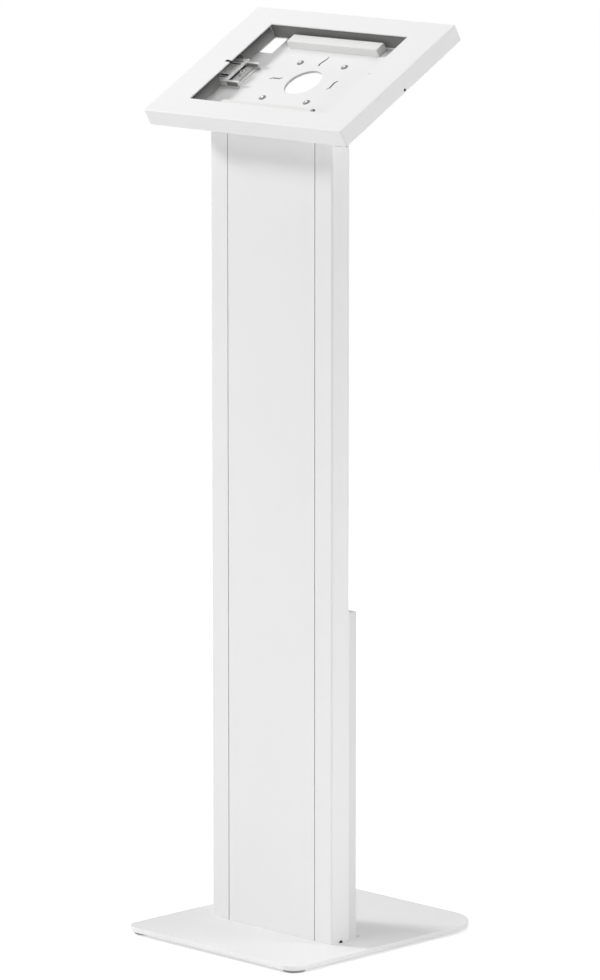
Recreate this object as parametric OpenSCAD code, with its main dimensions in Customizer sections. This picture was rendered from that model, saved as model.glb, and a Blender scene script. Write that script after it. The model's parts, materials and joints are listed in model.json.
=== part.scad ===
// Tablet security kiosk stand: a weighted base plate, a hollow sheet-steel column and a
// tilted tablet case with a hinged front frame and a key lock.
// Units are millimetres. X is right, Y is back, Z is up; the origin is on the floor under
// the middle of the base plate.

/* [Base] */
// Width of the base plate
base_w = 300; // [280:1:340]
// Depth of the base plate
base_d = 339; // [320:1:380]
// Thickness of the base plate
base_t = 6; // [5:0.5:10]
// Radius of the two front corners of the base plate
base_r_front = 22; // [12:1:30]
// Radius of the two rear corners of the base plate
base_r_rear = 56; // [40:1:64]
// Diameter of a rubber foot
foot_d = 28; // [22:1:32]
// Height of a rubber foot
foot_h = 4; // [3.5:0.5:8]
// Distance of a front foot's centre from the plate's edges
foot_inset_front = 20; // [18:1:30]
// Distance of a rear foot's centre from the plate's edges
foot_inset_rear = 28; // [26:1:40]
// Diameter of a floor anchor hole
anchor_d = 6; // [5:0.5:9]
// Distance between the two floor anchor holes
anchor_spacing = 188; // [160:1:220]
// Distance of the anchor holes behind the rear cover
anchor_back = 12.5; // [9:0.5:30]

/* [Column] */
// Width of the column
column_w = 209; // [200:1:230]
// Depth of the column
column_d = 30; // [28:1:40]
// Height of the column above the base plate
column_h = 985; // [940:1:1000]
// Distance of the column's front face behind the base plate's front edge
column_setback = 110.5; // [100:0.5:125]
// Thickness of the column's sheet metal
sheet_t = 1.5; // [1.2:0.1:2]
// Outside radius of the column's folded edges
fold_r = 2.5; // [2.2:0.1:4]
// Width of the panels between the two grooves
panel_w = 148; // [130:1:152]
// Width of the groove beside a panel
groove_w = 1.3; // [0.8:0.1:2]
// Depth of a panel's folded returns
panel_return = 8; // [6:0.5:9]
// Thickness of the straps that join the two profiles
strap_t = 2; // [1.5:0.5:3]
// Height of a strap
strap_h = 40; // [30:1:60]
// Radius of the half-round cable notch at the column's foot
foot_notch_r = 3.2; // [2:0.1:4]
// Thickness of the foot bracket's bottom plate
foot_plate_t = 6; // [5:0.5:8]
// Thickness of the foot bracket's uprights
foot_upright_t = 3; // [2:0.5:5]
// Height of the foot bracket's uprights
foot_upright_h = 60; // [40:1:90]

/* [Rear cover] */
// Height of the rear cable cover
cover_h = 409; // [380:1:450]
// Depth of the rear cable cover
cover_d = 12.6; // [11:0.2:30]
// Width of the cable outlet at the cover's foot
outlet_w = 40; // [25:1:60]
// Height of the cable outlet at the cover's foot
outlet_h = 15; // [10:1:25]
// Diameter of a cover standoff
standoff_d = 8; // [7:0.5:12]

/* [Head bracket] */
// Thickness of the flange on the column
flange_t = 3; // [2:0.5:5]
// Thickness of the flange's two side tabs
tab_t = 3; // [2:0.5:5]
// Length of the flange's side tabs
tab_h = 40; // [30:1:60]
// Thickness of a bracket arm
arm_t = 3; // [2:0.5:5]
// Thickness of the tilted bracket plate
plate_t = 3; // [2.5:0.5:5]
// Width of the tilted bracket plate
plate_w = 130; // [126:1:150]
// Length of the tilted bracket plate along the slope
plate_l = 110; // [108:1:120]
// Distance between the mounting screws, both ways
mount_pitch = 75; // [75:25:100]

/* [Head] */
// Tilt of the head from horizontal, in degrees
tilt = 30; // [26:1:34]
// Width of the front frame
head_w = 337; // [330:1:350]
// Length of the front frame along its slope
head_l = 226; // [222:1:240]
// Depth of the front frame's walls
head_t = 21.5; // [21:0.1:26]
// Distance of the frame's lower edge in front of the column
head_overhang = 51.5; // [45:0.5:56]
// Height of the frame's lower front edge above the column
head_rise = 20.5; // [17:0.5:45]
// Thickness of the front frame's sheet metal
frame_t = 1.5; // [1.2:0.1:2]
// Outside radius of the front frame's four corners
frame_r = 2.5; // [2.2:0.1:6]
// Width of the display opening
open_w = 232; // [220:1:236]
// Length of the display opening along the slope
open_l = 162; // [150:1:164]
// Width of the strip below the display opening
open_low = 32; // [28:1:36]
// Width of the tablet pocket between its walls
pocket_w = 244; // [242:1:250]
// Length of the tablet pocket between its walls
pocket_l = 170.5; // [168:0.5:176]
// Distance of the pocket's lower wall from the frame's lower edge
pocket_low = 25; // [22:0.5:27]
// Thickness of the pocket walls
wall_t = 1.2; // [1:0.1:1.5]
// Thickness of the tray's floor
tray_t = 1.5; // [1.2:0.1:2]
// Height of the tray's turned-up rim above its floor
rim_h = 8; // [5:0.5:10]
// Diameter of the cable hole in the tray
cable_d = 50; // [40:1:56]
// Width of the rear camera window in the tray
window_w = 23; // [15:1:26]
// Length of the rear camera window in the tray
window_l = 33; // [25:1:40]
// Radius of the camera window's corners
window_r = 2.5; // [1:0.1:5]
// Length of a cable tie slot in the tray
tie_slot_l = 20; // [16:1:26]
// Width of a cable tie slot in the tray
tie_slot_w = 2.2; // [1.2:0.1:3]
// Length of a support bar
bar_l = 153; // [120:1:164]
// Width of a support bar
bar_w = 15.5; // [12:0.5:17]
// Height of a support bar above the tray's floor
bar_h = 10.8; // [8:0.1:12]

/* [Hinge and lock] */
// Radius of the hinge pin
pin_r = 1.5; // [1.2:0.1:1.8]
// Radius of a hinge knuckle
knuckle_r = 3; // [2.8:0.1:3.3]
// Length of the hinge
hinge_l = 56; // [50:1:70]
// Length of an outer knuckle
knuckle_l = 18; // [12:1:20]
// Travel of the lock's slider
lock_travel = 8; // [7:0.5:8]
// Outside diameter of the lock's housing
housing_d = 18; // [17:0.5:18]
// Diameter of the lock's turning plug
plug_d = 12; // [10:0.5:13]
// Diameter of the plug's spindle
spindle_d = 6; // [5:0.5:8]
// Diameter of the crank pin
crank_d = 4; // [3:0.5:4]
// Width of the foot that holds the hinge on the tray
hinge_foot_w = 10; // [8:0.5:12]

/* [Clearances] */
// Side clearance between pieces that slide
slide_gap = 0.3; // [0.2:0.05:0.5]
// Radial clearance of a turning fit
turn_gap = 0.05; // [0.02:0.01:0.1]
// Radial clearance of a screw in its hole
screw_gap = 0.05; // [0.02:0.01:0.2]
// Gap between two pocket walls at a corner
corner_gap = 0.1; // [0.05:0.05:2]

/* [Hidden] */
$fn = 48;
eps = 0.01;

// Base and column
base_top = foot_h + base_t;
front_y = -base_d / 2 + column_setback;
back_y = front_y + column_d;
cover_back_y = back_y + cover_d;
mid_y = front_y + column_d / 2;
side_x = column_w / 2;
inner_x = side_x - sheet_t;
flange_x = panel_w / 2 + groove_w;
column_top = base_top + column_h;
anchor_y = cover_back_y + anchor_back;
bolt_r = 3;
bolt_head_r = 6;
bolt_x = 80;
bolt_dy = 7;
foot_screw_r = 2;
foot_screw_head_r = 4;
foot_screw_head_h = 2;
foot_recess_h = 2.4;
foot_screw_depth = base_t - 1.5;
returns_z = foot_plate_t + 2;
strap_z = [120, 480, column_h - tab_h - strap_h - 45];
panel_hole_w = 50;
panel_hole_h = 50;
panel_hole_z = 40;
standoff_x = (flange_x + side_x) / 2;
cover_foot_gap = 1;
standoff_inset = 39;
standoff_z = [cover_foot_gap + standoff_inset, cover_h - standoff_inset];
cover_screw_r = 2;
cover_screw_l = 9;
button_r = 3.8;
button_h = 2.2;
set_screw_r = 2;
set_screw_l = sheet_t + tab_t;
set_screw_y = back_y - 6;
set_screw_z = column_top - 7;
tab_y = 4;
side_slot_y = 5;
side_slot_l = 14;
side_slot_h = 1.2;
cable_slot_l = 60;
cable_slot_w = 16;

// Head, in its own axes: u right, v up the slope from the lower front edge, n out of the face
head_z = column_top + head_rise;
head_y = front_y - head_overhang;
half_w = head_w / 2;
tray_drop = 0.8;
floor_n = -head_t - tray_drop + tray_t;
floor_back_n = floor_n - tray_t;
plate_back_n = floor_back_n - plate_t;
plate_hole_d = cable_d + 18;
arm_x = plate_w / 2 - arm_t;
pocket_high = pocket_low + pocket_l;
pocket_x = pocket_w / 2;
wall_top_n = -frame_t - slide_gap;
wall_foot = 10;
mount_v = open_low + open_l / 2 - 1.5;
tray_clear = 3;
tray_left = -half_w + frame_t + tray_clear;
tray_low = frame_t + tray_clear;
tray_high = head_l - frame_t - tray_clear;
bar_inset_high = 5;
bar_inset_low = 9.7;
bar_shift = -2.2;
mount_screw_r = 2;
mount_head_r = 4.2;
mount_head_h = 2.4;
tie_hook_l = 4;
tie_slots = [[-49, 114.5, 0, 42], [-4, 156.5, 76, 28], [48.5, 112, 95, -50]];
ground_hole = [61, 59];
ground_hole_r = 2.2;
notch_l = 9;
notch_w = 4;
right_notch_l = 3;
right_notch_w = 8;
notch_v = open_low + open_l / 2 - 0.6;

// Hinge on the right
hinge_v = open_low + open_l / 2 + 2;
hinge_u = half_w - frame_t - 5.5;
hinge_n = -head_t + 4;
leaf_t = 2;
leaf_u = half_w - frame_t - leaf_t;
leaf_top_n = hinge_n + 9;
tray_right = hinge_u - 7.5;
hinge_low = hinge_v - hinge_l / 2;
hinge_high = hinge_v + hinge_l / 2;
knuckle_gap = 0.4;
mid_low = hinge_low + knuckle_l + knuckle_gap;
mid_high = hinge_high - knuckle_l - knuckle_gap;
hinge_foot_u = tray_right - 1 - hinge_foot_w;
hinge_arm_h = 3;
hinge_screw_n = -head_t + 2.6;
hinge_screw_r = 1.8;
hinge_shank_r = 1.2;
rivet_r = 2;
rivet_head_r = 3;
rivet_head_h = 1.2;

// Feet of the pocket walls, narrower where the room beside them is
function foot_in(room) = min(wall_foot, room - slide_gap);
foot_low = foot_in(pocket_low - tray_low - tray_t);
foot_high = foot_in(tray_high - tray_t - pocket_high);
foot_left = foot_in(-pocket_x - tray_left - tray_t);
foot_right = foot_in(hinge_foot_u - pocket_x);

// Lock on the left: a crank on the plug drives a slider between two ears
lock_u = -pocket_x + 11;
lock_v = pocket_low + pocket_l / 2 + 1.75;
crank_r = lock_travel / 2 * sqrt(2);
crank_u = lock_u + lock_travel / 2;
crank_v = lock_v + lock_travel / 2;
crank_gap = 0.5;
ear_t = 3;
ear_low = lock_v - 24;
ear_high = lock_v + 19;
ear_left = lock_u - 10.5;
ear_right = lock_u + 23;
lock_base_right = lock_u + 17.5;
lock_base_t = 1.5;
lock_base_n = floor_n + lock_base_t;
cam_low_n = floor_n + 0.3;
cam_t = 1.2;
cam_r = crank_r + crank_d / 2 + 0.2;
cam_hole_r = cam_r + 0.5;
slider_t = 1.5;
drive_n = lock_base_n + 0.4;
drive_top_n = drive_n + slider_t;
drive_right = lock_u + 13;
drive_edge = 1.2;
drive_low = ear_low + ear_t - drive_edge;
drive_high = ear_high - ear_t + drive_edge;
drive_hole_r = 2;
tongue_n = floor_n + 6.4;
tongue_top_n = tongue_n + slider_t;
tongue_left = -pocket_x - 9.5;
tongue_low = ear_low + ear_t + 0.4;
tongue_high = lock_v + 24;
tongue_slots = [[-15.9, -14.6], [-13.1, -9.5], [11.6, 13.6], [17.4, 18.6]];
tongue_slot_end = lock_u - 4.5;
rail_left = lock_u - 2.5;
rail_right = lock_u + 1.5;
rail_top_n = tongue_top_n + 0.6;
housing_l = 16;
housing_back_n = floor_back_n - housing_l;
housing_flange_r = 15.5;
housing_flange_t = 2;
key_w = 2;
key_l = 8;
key_depth = 6;
lock_screw_r = 1.5;
lock_screw_head_r = 2.75;
lock_screw_head_h = 1.6;
lock_screw_dv = 12;
strike_t = 1.5;
strike_u = tongue_left - 3;
strike_foot = lock_travel + 2;
strike_low = lock_v - 8;
strike_high = lock_v + 10.5;
strike_n = tongue_n - 0.5;

module on_column() {
    translate([0, front_y, base_top]) children();
}

module on_head() {
    translate([0, head_y, head_z]) rotate([tilt, 0, 0]) children();
}

module mirrored() {
    children();
    mirror([1, 0, 0]) children();
}

// A block between two corners
module block(low, high) {
    translate(low) cube(high - low);
}

// A round bar along X, Y or Z from a point
module bar_x(r, l) { rotate([0, 90, 0]) cylinder(r = r, h = l); }
module bar_y(r, l) { rotate([-90, 0, 0]) cylinder(r = r, h = l); }

// Outline of the base plate: small radii in front, large radii behind
module base_outline() {
    w = base_w / 2;
    d = base_d / 2;
    difference() {
        square([base_w, base_d], center = true);
        for (s = [-1, 1]) {
            difference() {
                translate([s * (w - base_r_front / 2 + 1), -d + base_r_front / 2 - 1])
                    square(base_r_front + 2, center = true);
                translate([s * (w - base_r_front), -d + base_r_front])
                    circle(r = base_r_front, $fn = 96);
            }
            difference() {
                translate([s * (w - base_r_rear / 2 + 1), d - base_r_rear / 2 + 1])
                    square(base_r_rear + 2, center = true);
                translate([s * (w - base_r_rear), d - base_r_rear])
                    circle(r = base_r_rear, $fn = 96);
            }
        }
    }
}

// Places its children at the centre of each foot
module at_feet() {
    for (s = [-1, 1]) {
        translate([s * (base_w / 2 - foot_inset_front), -base_d / 2 + foot_inset_front]) children();
        translate([s * (base_w / 2 - foot_inset_rear), base_d / 2 - foot_inset_rear]) children();
    }
}

// Places its children at each bolt that holds the column's foot
module at_bolts() {
    for (s = [-1, 1]) {
        for (t = [-1, 1]) {
            translate([s * bolt_x, mid_y + t * bolt_dy]) children();
        }
    }
}

// A flat rectangle between two corners with round corners
module rounded_rect(low, high, r) {
    translate([low[0] + r, low[1]]) square([high[0] - low[0] - 2 * r, high[1] - low[1]]);
    translate([low[0], low[1] + r]) square([high[0] - low[0], high[1] - low[1] - 2 * r]);
    for (x = [low[0] + r, high[0] - r]) {
        for (y = [low[1] + r, high[1] - r]) translate([x, y]) circle(r = r);
    }
}

module base_plate() {
    color("white") difference() {
        translate([0, 0, foot_h]) linear_extrude(base_t) base_outline();
        at_feet() translate([0, 0, foot_h - eps])
            cylinder(r = foot_screw_r + screw_gap, h = foot_screw_depth + eps);
        at_bolts() {
            translate([0, 0, foot_h - 1]) cylinder(r = bolt_r + screw_gap, h = base_t + 2);
            translate([0, 0, foot_h - eps])
                cylinder(r1 = bolt_head_r + screw_gap, r2 = bolt_r + screw_gap, h = bolt_head_r - bolt_r);
        }
        for (s = [-1, 1]) {
            translate([s * anchor_spacing / 2, anchor_y, foot_h - 1]) cylinder(d = anchor_d, h = base_t + 2);
        }
    }
}

module feet() {
    color("dimgray") at_feet() difference() {
        cylinder(d = foot_d, h = foot_h, $fn = 96);
        translate([0, 0, -1]) cylinder(r = foot_screw_head_r + 0.5, h = foot_recess_h + 1);
        translate([0, 0, -1]) cylinder(r = foot_screw_r + screw_gap, h = foot_h + 2);
    }
}

module foot_screws() {
    color("silver") at_feet() {
        translate([0, 0, foot_recess_h - foot_screw_head_h])
            cylinder(r = foot_screw_head_r, h = foot_screw_head_h);
        translate([0, 0, foot_recess_h])
            cylinder(r = foot_screw_r, h = foot_h - foot_recess_h + foot_screw_depth - 0.3);
    }
}

module base_bolts() {
    cone_h = bolt_head_r - bolt_r;
    color("silver") at_bolts() translate([0, 0, foot_h]) {
        cylinder(r1 = bolt_head_r, r2 = bolt_r, h = cone_h);
        translate([0, 0, cone_h]) cylinder(r = bolt_r, h = base_t - cone_h + foot_plate_t - 0.5);
    }
}

module foot_bracket() {
    color("white") difference() {
        on_column() {
            block([-inner_x, 3, 0], [inner_x, column_d - 3, foot_plate_t]);
            mirrored() block([inner_x - foot_upright_t, 3, 0], [inner_x, column_d - 3, foot_upright_h]);
        }
        at_bolts() translate([0, 0, base_top - 1]) cylinder(r = bolt_r + screw_gap, h = foot_plate_t + 2);
        on_column() foot_notches(foot_notch_r + 0.5);
    }
}

// The half-round cuts at the foot of both sides of the column
module foot_notches(r) {
    mirrored() translate([inner_x - foot_upright_t - 6, column_d / 2 + 1, 0]) bar_x(r, foot_upright_t + 10);
}

// Section of the right profile: a channel whose two outer edges are folded round
module profile_section() {
    difference() {
        union() {
            translate([flange_x, 0]) square([side_x - flange_x - fold_r, column_d]);
            translate([side_x - fold_r - eps, fold_r]) square([fold_r + eps, column_d - 2 * fold_r]);
            translate([side_x - fold_r, fold_r]) circle(r = fold_r);
            translate([side_x - fold_r, column_d - fold_r]) circle(r = fold_r);
        }
        translate([flange_x - 1, sheet_t]) square([inner_x - flange_x + 1, column_d - 2 * sheet_t]);
    }
}

module right_profile() {
    difference() {
        on_column() linear_extrude(column_h) profile_section();
        on_column() foot_notches(foot_notch_r);
        translate([inner_x - 1, set_screw_y, set_screw_z]) bar_x(set_screw_r + screw_gap, sheet_t + 2);
        translate([inner_x - 1, front_y + side_slot_y, set_screw_z - side_slot_h / 2])
            cube([sheet_t + 2, side_slot_l, side_slot_h]);
    }
}

module column_right() {
    color("white") right_profile();
}

module column_left() {
    color("white") mirror([1, 0, 0]) right_profile();
}

// A flat panel with two folded returns, its face at y = 0
module panel() {
    block([-panel_w / 2, 0, 0], [panel_w / 2, sheet_t, column_h]);
    mirrored() block([panel_w / 2 - sheet_t, 0, returns_z],
                     [panel_w / 2, sheet_t + panel_return, column_h]);
}

module front_panel() {
    color("white") on_column() panel();
}

module rear_panel() {
    color("white") on_column() difference() {
        translate([0, column_d, 0]) mirror([0, 1, 0]) panel();
        block([-panel_hole_w / 2, column_d - sheet_t - 1, panel_hole_z],
              [panel_hole_w / 2, column_d + 1, panel_hole_z + panel_hole_h]);
    }
}

module column_straps() {
    y = sheet_t + panel_return;
    color("white") on_column() for (z = strap_z) {
        block([-inner_x, y, z], [inner_x, y + strap_t, z + strap_h]);
        block([-inner_x, column_d - y - strap_t, z], [inner_x, column_d - y, z + strap_h]);
    }
}

// Places its children at each cover standoff, on the column's rear face
module at_standoffs() {
    for (s = [-1, 1]) {
        for (z = standoff_z) {
            translate([s * standoff_x, column_d, z]) children();
        }
    }
}

module rear_cover() {
    color("white") on_column() difference() {
        block([-side_x, column_d, cover_foot_gap], [side_x, column_d + cover_d, cover_h]);
        block([-side_x + sheet_t, column_d - 1, cover_foot_gap - 1],
              [side_x - sheet_t, column_d + cover_d - sheet_t, cover_h - sheet_t]);
        block([-outlet_w / 2, column_d + cover_d - sheet_t - 1, cover_foot_gap - 1],
              [outlet_w / 2, column_d + cover_d + 1, cover_foot_gap + outlet_h]);
        at_standoffs() bar_y(cover_screw_r + screw_gap, cover_d + 1);
    }
}

module cover_standoffs() {
    color("silver") on_column() at_standoffs() difference() {
        bar_y(standoff_d / 2, cover_d - sheet_t);
        translate([0, cover_d - sheet_t - cover_screw_l, 0])
            bar_y(cover_screw_r + screw_gap, cover_screw_l + 1);
    }
}

module cover_screws() {
    color("silver") on_column() at_standoffs() {
        translate([0, cover_d, 0]) difference() {
            bar_y(button_r, button_h);
            translate([0, button_h - 1.2, 0]) rotate([-90, 0, 0]) cylinder(r = 1.4, h = 2, $fn = 6);
        }
        translate([0, cover_d - cover_screw_l, 0]) bar_y(cover_screw_r, cover_screw_l + eps);
    }
}

module head_flange() {
    color("white") difference() {
        translate([0, front_y, column_top]) {
            block([-side_x, 0, 0], [side_x, column_d, flange_t]);
            mirrored() block([inner_x - tab_t, tab_y, -tab_h], [inner_x, column_d - sheet_t - 0.5, 0]);
        }
        translate([0, mid_y, column_top]) cube([cable_slot_l, cable_slot_w, 3 * flange_t], center = true);
        mirrored() translate([inner_x - tab_t - 1, set_screw_y, set_screw_z])
            bar_x(set_screw_r + screw_gap, tab_t + 2);
    }
}

module side_screws() {
    color("black") mirrored() translate([side_x - set_screw_l, set_screw_y, set_screw_z]) difference() {
        bar_x(set_screw_r, set_screw_l - 0.1);
        translate([set_screw_l - 1.8, 0, 0]) rotate([0, 90, 0]) cylinder(r = 1.1, h = 2, $fn = 6);
    }
}

// A point [y, z] under the bracket plate, at v up the slope
function under_plate(v) = [
    head_y + v * cos(tilt) - plate_back_n * sin(tilt),
    head_z + v * sin(tilt) + plate_back_n * cos(tilt)
];

module bracket_arms() {
    seat_z = column_top + flange_t;
    outline = [
        [front_y + 3, seat_z],
        [back_y - 2, seat_z],
        under_plate(mount_v + plate_l / 2 - 6),
        under_plate(mount_v - plate_l / 2 + 2)
    ];
    color("white") mirrored() translate([arm_x - arm_t / 2, 0, 0])
        rotate([90, 0, 90]) linear_extrude(arm_t) polygon(outline);
}

// Places its children at each mounting screw, in the head's axes
module at_mount_screws() {
    for (s = [-1, 1]) {
        for (t = [-1, 1]) {
            translate([s * mount_pitch / 2, mount_v + t * mount_pitch / 2, 0]) children();
        }
    }
}

module bracket_plate() {
    color("white") on_head() difference() {
        block([-plate_w / 2, mount_v - plate_l / 2, plate_back_n],
              [plate_w / 2, mount_v + plate_l / 2, floor_back_n]);
        translate([0, mount_v, plate_back_n - 1]) cylinder(d = plate_hole_d, h = plate_t + 2, $fn = 96);
        at_mount_screws() translate([0, 0, plate_back_n - 1])
            cylinder(r = mount_screw_r + screw_gap, h = plate_t + 2);
    }
}

// An S-shaped slot for a cable tie: a straight middle with two ends bent by an angle
module tie_slot(bend) {
    middle_l = tie_slot_l - 2 * tie_hook_l;
    cube([middle_l, tie_slot_w, 4 * tray_t], center = true);
    for (side = [0, 180]) {
        rotate([0, 0, side]) translate([middle_l / 2, 0, 0]) rotate([0, 0, bend])
            translate([tie_hook_l / 2 - 0.4, 0, 0])
                cube([tie_hook_l + 0.8, tie_slot_w, 4 * tray_t], center = true);
    }
}

module tray() {
    color("white") on_head() difference() {
        union() {
            block([tray_left, tray_low, floor_back_n], [tray_right, tray_high, floor_n]);
            block([tray_left, tray_low, floor_back_n], [tray_left + tray_t, tray_high, floor_n + rim_h]);
            block([tray_left, tray_low, floor_back_n], [tray_right, tray_low + tray_t, floor_n + rim_h]);
            block([tray_left, tray_high - tray_t, floor_back_n], [tray_right, tray_high, floor_n + rim_h]);
        }
        translate([0, mount_v, floor_back_n - 1]) cylinder(d = cable_d, h = tray_t + 2, $fn = 96);
        at_mount_screws() translate([0, 0, floor_back_n - 1])
            cylinder(r = mount_screw_r + screw_gap, h = tray_t + 2);
        translate([-pocket_x + 1, pocket_high - 0.5 - window_l, floor_back_n - 1])
            linear_extrude(tray_t + 2) rounded_rect([0, 0], [window_w, window_l], window_r);
        for (s = tie_slots) {
            translate([s[0], s[1], floor_n]) rotate([0, 0, s[2]]) tie_slot(s[3]);
        }
        translate([ground_hole[0], ground_hole[1], floor_back_n - 1])
            cylinder(r = ground_hole_r, h = tray_t + 2);
        translate([lock_u, lock_v, floor_back_n - 1]) cylinder(r = spindle_d / 2 + turn_gap, h = tray_t + 2);
        at_lock_screws() translate([0, 0, floor_back_n - 1])
            cylinder(r = lock_screw_r + screw_gap, h = tray_t + 2);
        at_rivets() translate([0, 0, floor_back_n - 1]) cylinder(r = rivet_r + screw_gap, h = tray_t + 2);
    }
}

// A pocket wall along X from a to b: its inner face at y = 0, its foot outwards
module wall(a, b, foot) {
    block([a, 0, floor_n], [b, wall_t, wall_top_n]);
    block([a, 0, floor_n], [b, foot, floor_n + wall_t]);
}

module wall_top() {
    half = pocket_x - corner_gap;
    color("white") on_head() translate([0, pocket_high, 0]) wall(-half, half, foot_high);
}

module wall_bottom() {
    half = pocket_x - corner_gap;
    color("white") on_head() translate([0, pocket_low, 0]) mirror([0, 1, 0]) wall(-half, half, foot_low);
}

module wall_right() {
    color("white") on_head() translate([pocket_x, 0, 0]) rotate([0, 0, -90])
        wall(-pocket_high + corner_gap, -pocket_low - corner_gap, foot_right);
}

// The left wall is cut down to the level of the lock's tongues
module wall_left() {
    color("white") on_head() difference() {
        translate([-pocket_x, 0, 0]) rotate([0, 0, 90])
            wall(pocket_low + corner_gap, pocket_high - corner_gap, foot_left);
        block([-pocket_x - wall_t - 1, tongue_low - 2 * slide_gap, tongue_n - slide_gap],
              [-pocket_x + 1, tongue_high + 2 * slide_gap, wall_top_n + 1]);
    }
}

// A bar that carries the tablet, from v upwards
module support(v) {
    block([bar_shift - bar_l / 2, v, floor_n], [bar_shift + bar_l / 2, v + bar_w, floor_n + bar_h]);
}

module support_upper() {
    color("whitesmoke") on_head() support(pocket_high - bar_inset_high - bar_w);
}

module support_lower() {
    color("whitesmoke") on_head() support(pocket_low + bar_inset_low);
}

module mount_screws() {
    color("silver") on_head() at_mount_screws() {
        difference() {
            translate([0, 0, floor_n]) cylinder(r = mount_head_r, h = mount_head_h);
            translate([0, 0, floor_n + mount_head_h - 1.4]) cylinder(r = 1.6, h = 2, $fn = 6);
        }
        translate([0, 0, plate_back_n - 1]) cylinder(r = mount_screw_r, h = floor_n - plate_back_n + 1 + eps);
    }
}

// Places its children at the two screws of the lock, in the head's axes
module at_lock_screws() {
    for (t = [-1, 1]) {
        translate([lock_u, lock_v + t * lock_screw_dv, 0]) children();
    }
}

// The lock's base with two ears; grooves in the ears guide the slider's lower plate
module lock_bracket() {
    color("silver") on_head() difference() {
        union() {
            block([ear_left, ear_low, floor_n], [lock_base_right, ear_high, lock_base_n]);
            block([ear_left, ear_low, floor_n], [ear_right, ear_low + ear_t, rail_top_n]);
            block([ear_left, ear_high - ear_t, floor_n], [ear_right, ear_high, tongue_n - 0.4]);
            block([rail_right + 0.6, ear_high - ear_t, floor_n], [ear_right, ear_high, rail_top_n]);
        }
        block([ear_left - 1, drive_low - slide_gap, drive_n - slide_gap],
              [ear_right + 1, drive_high + slide_gap, drive_top_n + slide_gap]);
        translate([lock_u, lock_v, floor_n - 1]) cylinder(r = cam_hole_r, h = lock_base_t + 2);
        at_lock_screws() translate([0, 0, floor_n - 1])
            cylinder(r = lock_screw_r + screw_gap, h = lock_base_t + 2);
    }
}

module lock_screws() {
    seat = floor_back_n - housing_flange_t;
    color("silver") on_head() at_lock_screws() {
        difference() {
            translate([0, 0, seat - lock_screw_head_h]) cylinder(r = lock_screw_head_r, h = lock_screw_head_h);
            translate([0, 0, seat - lock_screw_head_h - 1]) cylinder(r = 1, h = 2, $fn = 6);
        }
        translate([0, 0, seat - eps]) cylinder(r = lock_screw_r, h = lock_base_n - seat - 0.1);
    }
}

module lock_housing() {
    seat = floor_back_n - housing_flange_t;
    color("silver") on_head() difference() {
        translate([lock_u, lock_v, 0]) {
            translate([0, 0, housing_back_n]) cylinder(d = housing_d, h = housing_l);
            translate([0, 0, seat]) cylinder(r = housing_flange_r, h = housing_flange_t);
        }
        translate([lock_u, lock_v, housing_back_n - 1]) cylinder(r = plug_d / 2 + turn_gap, h = housing_l + 2);
        at_lock_screws() translate([0, 0, seat - 1])
            cylinder(r = lock_screw_r + screw_gap, h = housing_flange_t + 2);
    }
}

module lock_plug() {
    color("silver") on_head() translate([lock_u, lock_v, housing_back_n]) difference() {
        union() {
            cylinder(d = plug_d, h = housing_l - slide_gap);
            cylinder(d = spindle_d, h = cam_low_n - housing_back_n);
        }
        translate([0, 0, key_depth / 2 - 1]) cube([key_w, key_l, key_depth + 2], center = true);
    }
}

// The disc on the spindle and its crank pin, hollow at the top
module lock_cam() {
    color("silver") on_head() {
        translate([lock_u, lock_v, cam_low_n]) cylinder(r = cam_r, h = cam_t);
        translate([crank_u, crank_v, cam_low_n]) difference() {
            cylinder(d = crank_d, h = drive_top_n + slide_gap - cam_low_n);
            translate([0, 0, drive_top_n - cam_low_n - 0.8]) cylinder(d = crank_d / 2, h = 3);
        }
    }
}

// A sheet folded into a step: its lower plate is driven by the crank pin, its upper tongues lock the frame
module lock_slider() {
    web_left = lock_u - slider_t;
    color("silver") on_head() difference() {
        union() {
            block([web_left, drive_low, drive_n], [drive_right, drive_high, drive_top_n]);
            block([web_left, tongue_low, drive_n], [lock_u, ear_high - ear_t - 0.4, tongue_top_n]);
            block([tongue_left, tongue_low, tongue_n], [lock_u, tongue_high, tongue_top_n]);
            block([rail_left, tongue_low, tongue_n], [rail_right, tongue_high, rail_top_n]);
        }
        for (s = tongue_slots) {
            block([tongue_left - 1, lock_v + s[0], tongue_n - 1],
                  [tongue_slot_end, lock_v + s[1], tongue_top_n + 1]);
        }
        block([crank_u - crank_d / 2 - crank_gap, crank_v - crank_d / 2 - crank_gap, drive_n - 1],
              [crank_u + crank_d / 2 + crank_gap, lock_v + crank_r + crank_d / 2 + crank_gap, drive_top_n + 1]);
        translate([lock_u + 5.5, lock_v - 4, drive_n - 1]) cylinder(r = drive_hole_r, h = slider_t + 2);
    }
}

// Places its children at the two rivets of the hinge's fixed half
module at_rivets() {
    for (t = [-1, 1]) {
        translate([hinge_foot_u + 5, hinge_v + t * 5.5, 0]) children();
    }
}

module hinge_base() {
    arm_n = hinge_n - hinge_arm_h / 2;
    color("silver") on_head() difference() {
        union() {
            block([hinge_foot_u, mid_low, floor_n], [tray_right - 1, mid_high, arm_n + hinge_arm_h]);
            block([tray_right - 2, mid_low, arm_n], [hinge_u, mid_high, arm_n + hinge_arm_h]);
            translate([hinge_u, mid_low, hinge_n]) bar_y(knuckle_r, mid_high - mid_low);
        }
        translate([hinge_u, mid_low - 1, hinge_n]) bar_y(pin_r + turn_gap, mid_high - mid_low + 2);
        at_rivets() translate([0, 0, floor_n - 1]) cylinder(r = rivet_r + screw_gap, h = 30);
    }
}

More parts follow.
